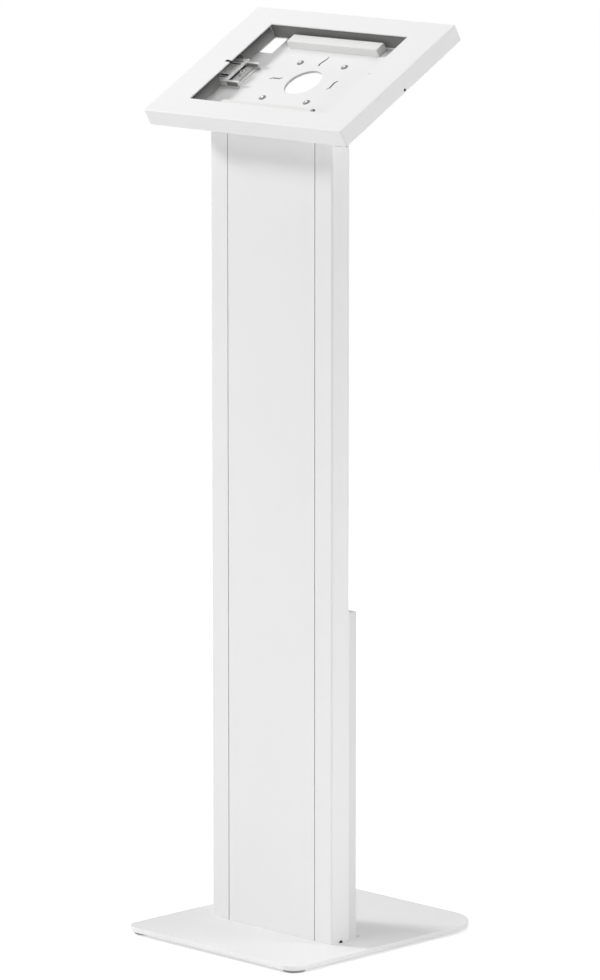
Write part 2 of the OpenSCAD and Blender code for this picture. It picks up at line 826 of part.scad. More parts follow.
module hinge_rivets() {
    seat = hinge_n + hinge_arm_h / 2;
    color("silver") on_head() at_rivets() {
        translate([0, 0, seat]) cylinder(r = rivet_head_r, h = rivet_head_h);
        translate([0, 0, floor_back_n - eps]) cylinder(r = rivet_r, h = seat - floor_back_n + 2 * eps);
        translate([0, 0, floor_back_n - rivet_head_h]) cylinder(r = rivet_head_r, h = rivet_head_h);
    }
}

module front_frame() {
    mid_v = notch_v;
    color("white") on_head() difference() {
        translate([0, 0, -head_t]) linear_extrude(head_t) rounded_rect([-half_w, 0], [half_w, head_l], frame_r);
        translate([0, 0, -head_t - 1]) linear_extrude(head_t + 1 - frame_t)
            rounded_rect([-half_w + frame_t, frame_t], [half_w - frame_t, head_l - frame_t], frame_r - frame_t);
        block([-open_w / 2, open_low, -frame_t - 1], [open_w / 2, open_low + open_l, 1]);
        block([-open_w / 2 - notch_l + notch_w / 2, mid_v - notch_w / 2, -frame_t - 1],
              [-open_w / 2 + 1, mid_v + notch_w / 2, 1]);
        translate([-open_w / 2 - notch_l + notch_w / 2, mid_v, -frame_t - 1])
            cylinder(d = notch_w, h = frame_t + 2);
        block([open_w / 2 - 1, mid_v - right_notch_w / 2, -frame_t - 1],
              [open_w / 2 + right_notch_l, mid_v + right_notch_w / 2, 1]);
        translate([half_w - frame_t - 1, hinge_v, hinge_screw_n]) bar_x(hinge_screw_r + screw_gap, frame_t + 2);
    }
}

module frame_strike() {
    back = strike_u - strike_foot;
    color("silver") on_head() {
        block([back, strike_low, strike_n - strike_t], [back + strike_t, strike_high, -frame_t]);
        block([back, strike_low, strike_n - strike_t], [strike_u, strike_high, strike_n]);
    }
}

module hinge_leaf() {
    color("silver") on_head() difference() {
        union() {
            block([leaf_u, hinge_low, -head_t + 1], [leaf_u + leaf_t, hinge_high, leaf_top_n]);
            for (v = [hinge_low, hinge_high - knuckle_l]) {
                translate([hinge_u, v, hinge_n]) bar_y(knuckle_r, knuckle_l);
                block([hinge_u, v, hinge_n - 2], [leaf_u + eps, v + knuckle_l, hinge_n + 2]);
            }
        }
        translate([hinge_u, hinge_low - 1, hinge_n]) bar_y(pin_r + 0.02, hinge_l + 2);
        translate([leaf_u - 1, hinge_v, hinge_screw_n]) bar_x(hinge_shank_r + screw_gap, leaf_t + 2);
    }
}

module hinge_screw() {
    color("black") on_head() translate([0, hinge_v, hinge_screw_n]) {
        translate([half_w - frame_t, 0, 0]) difference() {
            bar_x(hinge_screw_r, frame_t - 0.2);
            translate([frame_t - 1, 0, 0]) rotate([0, 90, 0]) cylinder(r = 0.9, h = 2, $fn = 6);
        }
        translate([leaf_u + 0.2, 0, 0]) bar_x(hinge_shank_r, leaf_t - 0.2 + eps);
    }
}

module hinge_pin() {
    color("silver") on_head() translate([hinge_u, hinge_low, hinge_n]) bar_y(pin_r, hinge_l);
}

base_plate();
feet();
foot_screws();
base_bolts();
foot_bracket();
column_left();
column_right();
front_panel();
rear_panel();
column_straps();
rear_cover();
cover_standoffs();
cover_screws();
head_flange();
bracket_arms();
bracket_plate();
side_screws();
tray();
wall_left();
wall_right();
wall_top();
wall_bottom();
support_upper();
support_lower();
mount_screws();
lock_bracket();
lock_screws();
lock_housing();
hinge_base();
hinge_rivets();
front_frame();
frame_strike();
hinge_leaf();
hinge_screw();
hinge_pin();
lock_plug();
lock_cam();
lock_slider();
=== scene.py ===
# %% [markdown]
# # A tablet security kiosk stand
# The real object is sheet steel, cut, folded, welded and powder-coated white: a heavy base plate,
# a hollow column and a tilted case that locks a tablet in. The frame below is its exact CAD model.
# Blender adds what folding and coating do to the eye: soft edges, satin white, real screws and welds.

# %% Load the frame
import bpy, bmesh, json, math
from mathutils import Matrix, Vector
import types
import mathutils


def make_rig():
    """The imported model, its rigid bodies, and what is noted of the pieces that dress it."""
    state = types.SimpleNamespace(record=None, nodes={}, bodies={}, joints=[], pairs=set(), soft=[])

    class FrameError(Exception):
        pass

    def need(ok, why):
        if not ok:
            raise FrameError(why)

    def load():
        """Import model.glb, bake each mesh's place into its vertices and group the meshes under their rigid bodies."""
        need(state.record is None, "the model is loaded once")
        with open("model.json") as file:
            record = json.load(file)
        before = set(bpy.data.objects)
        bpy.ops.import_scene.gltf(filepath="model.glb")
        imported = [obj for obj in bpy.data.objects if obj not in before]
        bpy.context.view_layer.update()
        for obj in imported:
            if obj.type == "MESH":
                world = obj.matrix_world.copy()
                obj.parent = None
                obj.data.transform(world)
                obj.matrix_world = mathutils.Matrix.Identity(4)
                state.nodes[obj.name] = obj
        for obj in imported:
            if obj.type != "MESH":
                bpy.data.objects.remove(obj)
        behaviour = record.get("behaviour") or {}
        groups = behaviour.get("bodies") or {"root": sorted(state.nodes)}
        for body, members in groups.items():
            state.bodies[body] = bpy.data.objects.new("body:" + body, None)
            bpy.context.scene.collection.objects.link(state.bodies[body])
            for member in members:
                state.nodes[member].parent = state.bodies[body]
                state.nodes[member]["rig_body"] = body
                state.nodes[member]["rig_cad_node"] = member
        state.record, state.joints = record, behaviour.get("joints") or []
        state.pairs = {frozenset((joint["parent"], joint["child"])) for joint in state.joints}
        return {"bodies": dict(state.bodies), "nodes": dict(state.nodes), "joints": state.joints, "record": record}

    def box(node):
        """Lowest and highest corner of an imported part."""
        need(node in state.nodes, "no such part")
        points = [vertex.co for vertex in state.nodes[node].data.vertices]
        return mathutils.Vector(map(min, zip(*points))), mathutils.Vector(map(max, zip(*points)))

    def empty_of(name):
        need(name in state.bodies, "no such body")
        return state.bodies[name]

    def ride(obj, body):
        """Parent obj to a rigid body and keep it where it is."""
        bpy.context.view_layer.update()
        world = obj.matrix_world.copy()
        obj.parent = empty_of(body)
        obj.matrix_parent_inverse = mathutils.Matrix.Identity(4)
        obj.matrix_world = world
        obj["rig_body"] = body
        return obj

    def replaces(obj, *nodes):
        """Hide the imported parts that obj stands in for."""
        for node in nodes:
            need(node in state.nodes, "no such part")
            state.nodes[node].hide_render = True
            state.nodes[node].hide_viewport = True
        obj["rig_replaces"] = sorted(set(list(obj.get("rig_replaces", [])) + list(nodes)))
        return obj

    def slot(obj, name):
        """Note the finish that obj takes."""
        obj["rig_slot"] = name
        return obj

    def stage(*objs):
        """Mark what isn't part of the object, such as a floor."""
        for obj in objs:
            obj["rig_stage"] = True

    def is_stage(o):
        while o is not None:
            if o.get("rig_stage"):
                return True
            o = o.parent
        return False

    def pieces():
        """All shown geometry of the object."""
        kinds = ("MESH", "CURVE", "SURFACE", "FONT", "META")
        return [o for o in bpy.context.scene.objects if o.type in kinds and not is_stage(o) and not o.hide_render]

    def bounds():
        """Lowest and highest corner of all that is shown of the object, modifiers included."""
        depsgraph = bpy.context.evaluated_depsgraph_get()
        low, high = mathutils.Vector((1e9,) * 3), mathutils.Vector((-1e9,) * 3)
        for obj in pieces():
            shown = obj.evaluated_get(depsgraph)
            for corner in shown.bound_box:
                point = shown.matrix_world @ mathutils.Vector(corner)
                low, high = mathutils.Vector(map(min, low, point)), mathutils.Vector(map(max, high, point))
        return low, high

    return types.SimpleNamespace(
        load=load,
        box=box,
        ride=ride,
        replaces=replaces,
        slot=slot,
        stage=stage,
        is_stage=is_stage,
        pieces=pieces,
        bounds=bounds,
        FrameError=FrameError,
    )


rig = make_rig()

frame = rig.load()
cad_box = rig.bounds()
nodes, record = frame["nodes"], frame["record"]
slot_of = {p["node"]: p["material_slot"] for p in record["subparts"]}
body_of = {n: b for b, members in record["behaviour"]["bodies"].items() for n in members}
SIDES = (("right", 1), ("left", -1))
print(len(nodes), "CAD pieces in", len(frame["bodies"]), "bodies")

# %% [markdown]
# The case is tilted, so sizes on it are easiest to read in its own axes: u to the right, v up the
# slope and n out of the face, in millimetres. The hinge's axis gives v and the lock's axis gives n,
# and the frame's box gives the lower front edge where all three start.

# %% Axes of the tilted case
axis = {j["name"]: Vector(j["axis"]).normalized() for j in frame["joints"]}
UP_SLOPE, OUT = axis["frame_hinge"], axis["lock_turn"]
RIGHT = UP_SLOPE.cross(OUT)
frame_low, frame_high = (Vector(c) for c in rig.box("front_frame"))
CASE_DEPTH = 0.0215
CORNER = Vector((0, frame_low.y, frame_low.z + CASE_DEPTH * OUT.z))
CASE_TURN = Matrix((RIGHT, UP_SLOPE, OUT)).transposed()

def on_case(u, v, n):
    return CORNER + CASE_TURN @ (Vector((u, v, n)) / 1000)

def in_case(point):
    return (CASE_TURN.transposed() @ (Vector(point) - CORNER)) * 1000

def case_corners(node):
    points = [in_case(v.co) for v in nodes[node].data.vertices]
    low = Vector([min(p[i] for p in points) for i in range(3)])
    high = Vector([max(p[i] for p in points) for i in range(3)])
    return low, high

print("tilt", round(math.degrees(math.atan2(UP_SLOPE.z, UP_SLOPE.y)), 2), "degrees")

# %% [markdown]
# ## Finishes
# Every finish is a small node tree. Colours are written as sRGB hex, as a colour card gives them,
# and turned to linear light here. One function adds a node with its settings and its links.

# %% Helpers for finishes
MIX_FIRST, MIX_SECOND, MIX_RESULT = 6, 7, 2

def linear(code):
    parts = [int(code[i:i + 2], 16) / 255 for i in (1, 3, 5)]
    return [c / 12.92 if c <= 0.04045 else ((c + 0.055) / 1.055) ** 2.4 for c in parts] + [1.0]

def add(tree, kind, settings=None, inputs=None):
    made = tree.nodes.new(kind)
    for name, value in (settings or {}).items():
        setattr(made, name, value)
    for name, value in (inputs or {}).items():
        if isinstance(value, bpy.types.NodeSocket):
            tree.links.new(value, made.inputs[name])
        else:
            made.inputs[name].default_value = value
    return made

def new_finish(name, **constants):
    finish = bpy.data.materials.new(name)
    finish.use_nodes = True
    tree = finish.node_tree
    tree.nodes.clear()
    shader = add(tree, "ShaderNodeBsdfPrincipled", inputs=constants)
    add(tree, "ShaderNodeOutputMaterial", inputs={"Surface": shader.outputs["BSDF"]})
    where = add(tree, "ShaderNodeTexCoord").outputs["Object"]
    return finish, tree, shader, where

def per_metre(mm):
    return 1000.0 / mm

print("white on the colour card:", [round(c, 3) for c in linear("#F3F3F3")[:3]])

# %% [markdown]
# ### White powder coat
# Powder is sprayed on dry and baked, so it flows into a satin skin with a fine orange-peel ripple
# about 2.5 mm across and a slightly uneven gloss. The ripple is a bump, the gloss a wide noise. A
# very faint drift of tone over 90 mm keeps the large panels from looking like plastic film. The rear
# cover and the base plate take greyer copies of the coat: painted shade. The base plate's thick edge
# takes a whiter copy than its top: a painted highlight.

# %% White powder-coated steel
DRIFT_MM, GLOSS_MM, PEEL_MM, PEEL_DEPTH = 90, 25, 2.5, 0.0002
SATIN_SMOOTH, SATIN_ROUGH = 0.42, 0.54

def powder_coat(name, dark, light):
    finish, tree, shader, where = new_finish(name, IOR=1.5)
    drift = add(tree, "ShaderNodeTexNoise",
                inputs={"Vector": where, "Scale": per_metre(DRIFT_MM), "Detail": 2.0})
    tone = add(tree, "ShaderNodeMix", {"data_type": "RGBA"}, {
        "Factor": drift.outputs["Fac"], MIX_FIRST: linear(dark), MIX_SECOND: linear(light)})
    tree.links.new(tone.outputs[MIX_RESULT], shader.inputs["Base Color"])
    gloss = add(tree, "ShaderNodeTexNoise",
                inputs={"Vector": where, "Scale": per_metre(GLOSS_MM), "Detail": 3.0})
    satin = add(tree, "ShaderNodeMapRange", inputs={
        "Value": gloss.outputs["Fac"], "To Min": SATIN_SMOOTH, "To Max": SATIN_ROUGH})
    tree.links.new(satin.outputs["Result"], shader.inputs["Roughness"])
    peel = add(tree, "ShaderNodeTexNoise",
               inputs={"Vector": where, "Scale": per_metre(PEEL_MM), "Detail": 1.0})
    ripple = add(tree, "ShaderNodeBump",
                 inputs={"Height": peel.outputs["Fac"], "Strength": 0.12, "Distance": PEEL_DEPTH})
    tree.links.new(ripple.outputs["Normal"], shader.inputs["Normal"])
    return finish

white_coat = powder_coat("powder_coated_steel_white", "#F3F3F3", "#F6F6F6")
# greyer copies of the white coat for the rear cover and the base plate: painted shade
cover_painted_shade_coat = powder_coat("powder_coated_steel_white_cover_painted_shade", "#E5E5E5", "#E8E8E8")
base_painted_shade_coat = powder_coat("powder_coated_steel_white_base_painted_shade", "#EDEDED", "#F1F1F1")
# a whiter copy of the white coat for the base plate's edge faces: painted highlight
edge_painted_highlight_coat = powder_coat("powder_coated_steel_white_edge_painted_highlight", "#FAFAFA", "#FCFCFC")
print("made", white_coat.name, cover_painted_shade_coat.name, base_painted_shade_coat.name, edge_painted_highlight_coat.name)

# %% [markdown]
# ### Zinc, black steel and nickel
# Plating is bright but not a mirror: the steel under it was rolled or turned, which leaves fine lines
# and a mottled spangle a few millimetres wide. Blackened screws keep the same grain in near black.
# The lock's bracket is cast zinc, its slider has a dull side and a paler copy on its upper faces that is
# painted light, and the screws in the tray have a grey coat of zinc flakes: all of these scatter more
# light than bright plating does.

# %% Plated, blackened and cast metal
CLOUD_MM, LINE_DEPTH = 1.2, 0.0001

def plated(name, light, dark, spangle_mm, smooth, rough, metal=1.0):
    finish, tree, shader, where = new_finish(name, Metallic=metal)
    grain = add(tree, "ShaderNodeTexVoronoi", inputs={"Vector": where, "Scale": per_metre(spangle_mm)})
    cloud = add(tree, "ShaderNodeTexNoise",
                inputs={"Vector": where, "Scale": per_metre(CLOUD_MM), "Detail": 3.0}).outputs["Fac"]
    spangle = add(tree, "ShaderNodeMath", {"operation": "MULTIPLY"}, {0: grain.outputs["Distance"], 1: cloud})
    tone = add(tree, "ShaderNodeMix", {"data_type": "RGBA"}, {
        "Factor": spangle.outputs["Value"], MIX_FIRST: linear(light), MIX_SECOND: linear(dark)})
    tree.links.new(tone.outputs[MIX_RESULT], shader.inputs["Base Color"])
    sheen = add(tree, "ShaderNodeMapRange", inputs={"Value": cloud, "To Min": smooth, "To Max": rough})
    tree.links.new(sheen.outputs["Result"], shader.inputs["Roughness"])
    lines = add(tree, "ShaderNodeBump", inputs={"Height": cloud, "Strength": 0.1, "Distance": LINE_DEPTH})
    tree.links.new(lines.outputs["Normal"], shader.inputs["Normal"])
    return finish

zinc = plated("zinc_plated_steel", "#D8D8D7", "#B9B9B8", 3.0, 0.36, 0.56)
black_steel = plated("black_oxide_steel", "#2A2A2B", "#151516", 2.0, 0.38, 0.55)
nickel = plated("nickel_plated_brass", "#D8D5CE", "#C2BEB5", 4.0, 0.14, 0.26)
# bright zinc for the middle of each tray screw's head: painted highlight
highlight_zinc = plated("zinc_painted_highlight", "#F4F4F3", "#E6E6E5", 3.0, 0.3, 0.45)
cast_zinc = plated("die_cast_zinc_matt", "#E8E8E7", "#D0D0CF", 2.0, 0.5, 0.65, metal=0.25)
flake_zinc = plated("zinc_flake_coating_grey", "#929291", "#7E7E7D", 1.5, 0.55, 0.7, metal=0.3)
dull_zinc = plated("zinc_plated_steel_dull", "#CFCFCE", "#B6B6B5", 2.0, 0.5, 0.65, metal=0.25)
# a paler copy of the slider's zinc for its upper faces: painted light
painted_light_zinc = plated("zinc_plated_steel_painted_light", "#FAFAF9", "#EEEEED", 2.0, 0.55, 0.7, metal=0.0)
print("made", zinc.name, black_steel.name, nickel.name, highlight_zinc.name)
print("made", cast_zinc.name, flake_zinc.name, dull_zinc.name, painted_light_zinc.name)

# %% [markdown]
# ### Foam and rubber
# The bars under the tablet are closed-cell foam: matt, white, with cells under a millimetre that read
# as a fine dimpled skin. The feet are pale grey moulded rubber, matt with a little mould texture.

# %% Foam and rubber
def matt(name, light, dark, cell_mm, depth_mm, rough):
    finish, tree, shader, where = new_finish(name, Roughness=rough, IOR=1.45)
    cells = add(tree, "ShaderNodeTexVoronoi",
                inputs={"Vector": where, "Scale": per_metre(cell_mm)}).outputs["Distance"]
    tone = add(tree, "ShaderNodeMix", {"data_type": "RGBA"}, {
        "Factor": cells, MIX_FIRST: linear(dark), MIX_SECOND: linear(light)})
    tree.links.new(tone.outputs[MIX_RESULT], shader.inputs["Base Color"])
    skin = add(tree, "ShaderNodeBump", inputs={"Height": cells, "Strength": 0.4, "Distance": depth_mm / 1000})
    tree.links.new(skin.outputs["Normal"], shader.inputs["Normal"])
    return finish

foam = matt("closed_cell_foam_white", "#F7F7F6", "#E8E8E6", 0.9, 0.15, 0.85)
rubber = matt("moulded_rubber_grey", "#BDBDBB", "#A6A6A4", 0.6, 0.06, 0.7)
FINISH = {"white_powder_coat": white_coat, "zinc_plated_steel": zinc, "black_oxide_steel": black_steel,
          "grey_rubber": rubber, "white_foam": foam, "nickel_plated_brass": nickel}
for name, obj in nodes.items():
    obj.data.materials.clear()
    obj.data.materials.append(FINISH[slot_of[name]])
print("made", foam.name, rubber.name)

# %% [markdown]
# ## Folded and cut sheet
# Every piece ends as a plain mesh object that sits at the origin, with its place in its mesh. Modifiers
# could stay live, but the export wants plain meshes, so one helper applies them. A piece then takes one
# finish, and a piece that stands for a CAD solid says for which.

# %% From a mesh to a piece
def new_object(name, mesh):
    data = bpy.data.meshes.new(name)
    mesh.to_mesh(data)
    mesh.free()
    obj = bpy.data.objects.new(name, data)
    bpy.context.scene.collection.objects.link(obj)
    return obj

def apply_modifiers(obj):
    evaluated = obj.evaluated_get(bpy.context.evaluated_depsgraph_get())
    data = bpy.data.meshes.new_from_object(evaluated)
    obj.modifiers.clear()
    obj.data = data

def settle(obj, finish):
    obj.data.materials.clear()
    obj.data.materials.append(finish)
    for polygon in obj.data.polygons:
        polygon.material_index = 0

def replace_node(obj, node):
    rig.replaces(obj, node)
    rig.slot(obj, slot_of[node])

print("material slots of the CAD pieces:", sorted(set(slot_of.values())))

# %% [markdown]
# A CAD solid has edges without any radius. A folded edge has one of about the sheet's thickness, and
# a laser-cut edge is dulled by the coating. Each sheet piece is therefore a copy of its solid with
# the seams merged; the folds are rounded first with a large bevel, then all cut edges with a small one.
# A Bevel modifier would give folds and cuts one width, so both are chosen here by their place. Normals
# weighted by area keep the flat faces flat to the eye, so that only the rounded edge catches the light.

# %% A rounded copy of a CAD solid
FOLD_STEPS, CUT_STEPS = 5, 3
SHARP, SAME_PLANE = math.radians(35), math.radians(0.3)

def round_edges(mesh, edges, width_mm, steps):
    if edges:
        bmesh.ops.bevel(mesh, geom=edges, offset=width_mm / 1000, offset_type="OFFSET", segments=steps,
                        profile=0.5, affect="EDGES", clamp_overlap=False)

def sharp_edges(mesh):
    return [e for e in mesh.edges if len(e.link_faces) == 2 and e.calc_face_angle(0.0) > SHARP]

def keep_flats_flat(obj):
    guard = obj.modifiers.new("weighted", "WEIGHTED_NORMAL")
    guard.keep_sharp = False
    guard.weight = 100
    apply_modifiers(obj)

def rounded(node, cut_mm=0.25, fold_mm=0.0, is_fold=None):
    mesh = bmesh.new()
    mesh.from_mesh(nodes[node].data)
    bmesh.ops.remove_doubles(mesh, verts=mesh.verts, dist=1e-6)
    bmesh.ops.dissolve_limit(mesh, angle_limit=SAME_PLANE, verts=mesh.verts, edges=mesh.edges)
    cut = sharp_edges(mesh)
    if is_fold:
        folds = [e for e in cut if is_fold((e.verts[0].co + e.verts[1].co) / 2)]
        round_edges(mesh, folds, fold_mm, FOLD_STEPS)
        cut = sharp_edges(mesh)
    round_edges(mesh, cut, cut_mm, CUT_STEPS)
    for face in mesh.faces:
        face.smooth = True
    obj = new_object(node + "_finished", mesh)
    keep_flats_flat(obj)
    settle(obj, FINISH[slot_of[node]])
    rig.ride(obj, body_of[node])
    replace_node(obj, node)
    return obj

print("folds rounded in", FOLD_STEPS, "steps and cut edges in", CUT_STEPS)

# %% [markdown]
# The front frame is one folded sheet: its face and four walls meet in folds of about 1.4 mm, and the
# display opening is cut. The base plate is thick, so its edges are only broken, by about 0.7 mm.

# %% The front frame and the base plate
HALF_WIDTH, HALF_LENGTH, CORNER_R = frame_high.x * 1000, 113.0, 2.5
NEAR_FACE, NEAR_OUTLINE, EDGE_NORMAL_Z = 0.05, 0.1, 0.8

def frame_fold(middle):
    u, v, n = in_case(middle)
    past_u = max(abs(u) - HALF_WIDTH + CORNER_R, 0)
    past_v = max(abs(v - HALF_LENGTH) - HALF_LENGTH + CORNER_R, 0)
    return abs(n) < NEAR_FACE and abs(math.hypot(past_u, past_v) - CORNER_R) < NEAR_OUTLINE

front = rounded("front_frame", 0.2, 1.4, frame_fold)
base = rounded("base_plate", 0.7)
# the base plate takes its greyer copy of the coat: painted shade
settle(base, base_painted_shade_coat)
# faces that stand steeper than EDGE_NORMAL_Z take the whiter edge coat: painted highlight
base.data.materials.append(edge_painted_highlight_coat)
for polygon in base.data.polygons:
    polygon.material_index = int(abs(polygon.normal.z) < EDGE_NORMAL_Z)
print("front frame", len(front.data.polygons), "faces; base plate", len(base.data.polygons))

# %% [markdown]
# The column is two folded profiles with a panel between them, front and back. The profiles' folds are
# round in the CAD already. The rear cover is a folded box, and its folds get 1.3 mm.

# %% The column and its cover
cover_low, cover_high = (Vector(c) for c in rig.box("rear_cover"))
ON_FACE = 5e-5

def cover_fold(middle):
    at_back = abs(middle.y - cover_high.y) < ON_FACE
    at_side = abs(abs(middle.x) - cover_high.x) < ON_FACE
    at_top = abs(middle.z - cover_high.z) < ON_FACE
    return at_back + at_side + at_top >= 2

for name in ("column_left", "column_right", "front_panel", "rear_panel", "column_straps",
             "foot_bracket", "head_flange"):
    rounded(name, 0.2)
# the rear cover takes its greyer copy of the coat: painted shade
settle(rounded("rear_cover", 0.2, 1.3, cover_fold), cover_painted_shade_coat)
print("column pieces rounded")

# %% [markdown]
# The profiles' round rear edges would leave a groove where the cover meets them. On the real stand the
# joint is filled and painted over, so a white sealant strip lies in it, a little below both faces, and
# another closes the gap between the cover's sides and the base plate. One function draws an outline out.

# %% Sealant between column and cover
def strip(name, outline, ends, place, finish=white_coat, slot="white_powder_coat"):
    mesh = bmesh.new()
    rings = [[mesh.verts.new(place(a, b, end)) for a, b in outline] for end in ends]
    mesh.faces.new(rings[0])
    mesh.faces.new(rings[1])
    for i in range(len(outline)):
        j = (i + 1) % len(outline)
        mesh.faces.new([rings[0][i], rings[0][j], rings[1][j], rings[1][i]])
    bmesh.ops.recalc_face_normals(mesh, faces=mesh.faces)
    obj = new_object(name, mesh)
    settle(obj, finish)
    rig.ride(obj, "stand")
    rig.slot(obj, slot)

SIDE, COVER_FRONT = cover_high.x * 1000, cover_low.y * 1000
BASE_TOP, GAP_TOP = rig.box("base_plate")[1][2] * 1000, cover_low.z * 1000
FOLD_R, BEAD_DEPTH, BEAD_SINK = 2.5, 1.4, 0.15
BEAD_FRONT, BEAD_BACK = cover_low.y + 0.0003, cover_high.y - 0.0012
arc = [math.radians(a) for a in range(20, 71, 5)]
groove = [(SIDE - FOLD_R * (1 - math.cos(a)), COVER_FRONT - FOLD_R * (1 - math.sin(a))) for a in arc]
groove += [(SIDE - 0.4, COVER_FRONT), (SIDE - 0.1, COVER_FRONT - 0.1)]
bead = [(SIDE - BEAD_DEPTH, BASE_TOP), (SIDE, BASE_TOP), (SIDE - BEAD_SINK, BASE_TOP + 0.3),
        (SIDE - BEAD_SINK, GAP_TOP - 0.2), (SIDE - 0.2, GAP_TOP), (SIDE - BEAD_DEPTH, GAP_TOP)]
for side, sign in SIDES:
    strip("cover_sealant_" + side, groove, (cover_low.z, cover_high.z),
          lambda x, y, z: (sign * x / 1000, y / 1000, z))
    strip("cover_foot_sealant_" + side, bead, (BEAD_FRONT, BEAD_BACK),
          lambda x, z, y: (sign * x / 1000, y, z / 1000))
print("joint filled from", round(cover_low.z, 3), "to", round(cover_high.z, 3))

# %% [markdown]
# The case's inside is seen closely through the opening: the tray with its holes, the four pocket
# walls, the foam bars and the lock. Pressed sheet gets 0.2 mm edges and cut foam 0.8 mm. The slider's
# upper faces take a paler copy of its finish than its lower plate: painted light.

# %% The case and the lock
SLIDER_PAINTED_LIGHT_N = -14.5
for name in ("tray", "wall_left", "wall_right", "wall_top", "wall_bottom", "bracket_plate", "bracket_arms"):
    rounded(name, 0.2)
for name in ("support_upper", "support_lower"):
    rounded(name, 0.8)
for name in ("frame_strike", "hinge_leaf", "hinge_base"):
    rounded(name, 0.25)
settle(rounded("lock_bracket", 0.25), cast_zinc)
slider = rounded("lock_slider", 0.25)
settle(slider, dull_zinc)
# faces above SLIDER_PAINTED_LIGHT_N take the paler copy: painted light
slider.data.materials.append(painted_light_zinc)
for polygon in slider.data.polygons:
    polygon.material_index = int(in_case(polygon.center).z > SLIDER_PAINTED_LIGHT_N)
for name in ("lock_cam", "lock_housing", "lock_plug", "hinge_pin", "cover_standoffs"):
    rounded(name, 0.2)
print("case pieces rounded")

# %% [markdown]
# The pocket's walls are lined with thin grey felt, so that the tablet's edges meet no bare steel; its
# grey also stands in for part of the pocket's shade, so it is partly painted shade. Each strip is a flat
# grid with the cells left out where the lock's tongues pass, given its thickness by an extrusion. It
# stops a millimetre short of the corners, where the white wall shows as a light seam.

# %% Felt strips
FELT_T = 0.0003
# grey felt for the pocket walls, partly painted shade
felt = matt("wool_felt_grey", "#8C8C8B", "#757574", 0.5, 0.1, 0.95)

def lining(name, lengths, heights, place, inward, gap=(), body="stand", finish=felt):
    mesh = bmesh.new()
    corner = {(i, j): mesh.verts.new(place(a, b))
              for i, a in enumerate(lengths) for j, b in enumerate(heights)}
    for i in range(len(lengths) - 1):
        for j in range(len(heights) - 1):
            if (i, j) not in gap:
                mesh.faces.new([corner[k] for k in ((i, j), (i + 1, j), (i + 1, j + 1), (i, j + 1))])
    skin = bmesh.ops.extrude_face_region(mesh, geom=list(mesh.faces))["geom"]
    raised = [g for g in skin if isinstance(g, bmesh.types.BMVert)]
    bmesh.ops.translate(mesh, verts=raised, vec=inward * FELT_T)
    bmesh.ops.recalc_face_normals(mesh, faces=mesh.faces)
    obj = new_object(name, mesh)
    settle(obj, finish)
    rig.ride(obj, body)
    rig.slot(obj, "grey_rubber")

print("made", felt.name, FELT_T * 1000, "mm thick")

# %% [markdown]
# On the left that strip is darker towards its upper edge, under the bezel: painted shade.
# Its colour is multiplied by a gain that falls with the height n, which is a dot product with the
# case's outward axis.

# %% Felt linings of the pocket
POCKET_U, POCKET_LOW, POCKET_HIGH, SEAM = 122.0, 25.0, 195.5, 1.0
LINING_LOW, LINING_HIGH = -20.6, -2.0
LOCK_LOW, LOCK_HIGH, TONGUE_LOW, TONGUE_HIGH = 90.7, 136.7, -15.0, -12.3
CUT_EDGE_U, CUT_EDGE_V, CUT_EDGE_LOW = [-POCKET_U - 1.1, -POCKET_U + 0.3], 136.6, -14.6
SHADE_RAMP_HIGH, GAIN_LOW, GAIN_HIGH = -4.0, 2.15, 0.3

def painted_shade_ramp(finish, low_n, high_n, low_gain, high_gain):
    tree = finish.node_tree
    shader = next(n for n in tree.nodes if n.type == "BSDF_PRINCIPLED")
    colour = shader.inputs["Base Color"].links[0].from_socket
    where = add(tree, "ShaderNodeTexCoord").outputs["Object"]
    level = add(tree, "ShaderNodeVectorMath", {"operation": "DOT_PRODUCT"}, {0: where, 1: tuple(OUT)})
    gain = add(tree, "ShaderNodeMapRange", inputs={
        "Value": level.outputs["Value"], "To Min": low_gain, "To Max": high_gain,
        "From Min": OUT.dot(on_case(0, 0, low_n)), "From Max": OUT.dot(on_case(0, 0, high_n))})
    graded = add(tree, "ShaderNodeVectorMath", {"operation": "SCALE"},
                 {0: colour, "Scale": gain.outputs["Result"]})
    tree.links.new(graded.outputs["Vector"], shader.inputs["Base Color"])
    return finish

# the left felt's colour falls towards the bezel: painted shade
shade_ramped_felt = painted_shade_ramp(matt("wool_felt_grey_painted_shade", "#8C8C8B", "#757574", 0.5, 0.1, 0.95),
                     LINING_LOW, SHADE_RAMP_HIGH, GAIN_LOW, GAIN_HIGH)
across, upward = [-POCKET_U + SEAM, POCKET_U - SEAM], [POCKET_LOW + SEAM, POCKET_HIGH - SEAM]
heights = [LINING_LOW, LINING_HIGH]
lining("lining_top", across, heights, lambda u, n: on_case(u, POCKET_HIGH, n), -UP_SLOPE)
lining("lining_bottom", across, heights, lambda u, n: on_case(u, POCKET_LOW, n), UP_SLOPE)
lining("lining_right", upward, heights, lambda v, n: on_case(POCKET_U, v, n), -RIGHT)
lining("lining_left", [upward[0], LOCK_LOW, LOCK_HIGH, upward[1]],
       [LINING_LOW, TONGUE_LOW, TONGUE_HIGH, LINING_HIGH], lambda v, n: on_case(-POCKET_U, v, n), RIGHT,
       gap=((1, 1), (1, 2)), finish=shade_ramped_felt)
lining("lining_cut_edge", CUT_EDGE_U, [CUT_EDGE_LOW, LINING_HIGH], lambda u, n: on_case(u, CUT_EDGE_V, n),
       -UP_SLOPE)
print("pocket lined")

# %% [markdown]
# The lock gets felt where it shows shade: a dark strip along the slider's upright, a dark sheet under
# its tongues, a dark strip on the far wall of each tongue's slot, which makes the slots show black, and
# a grey pad on the near side of each ear. All of these are painted shade.

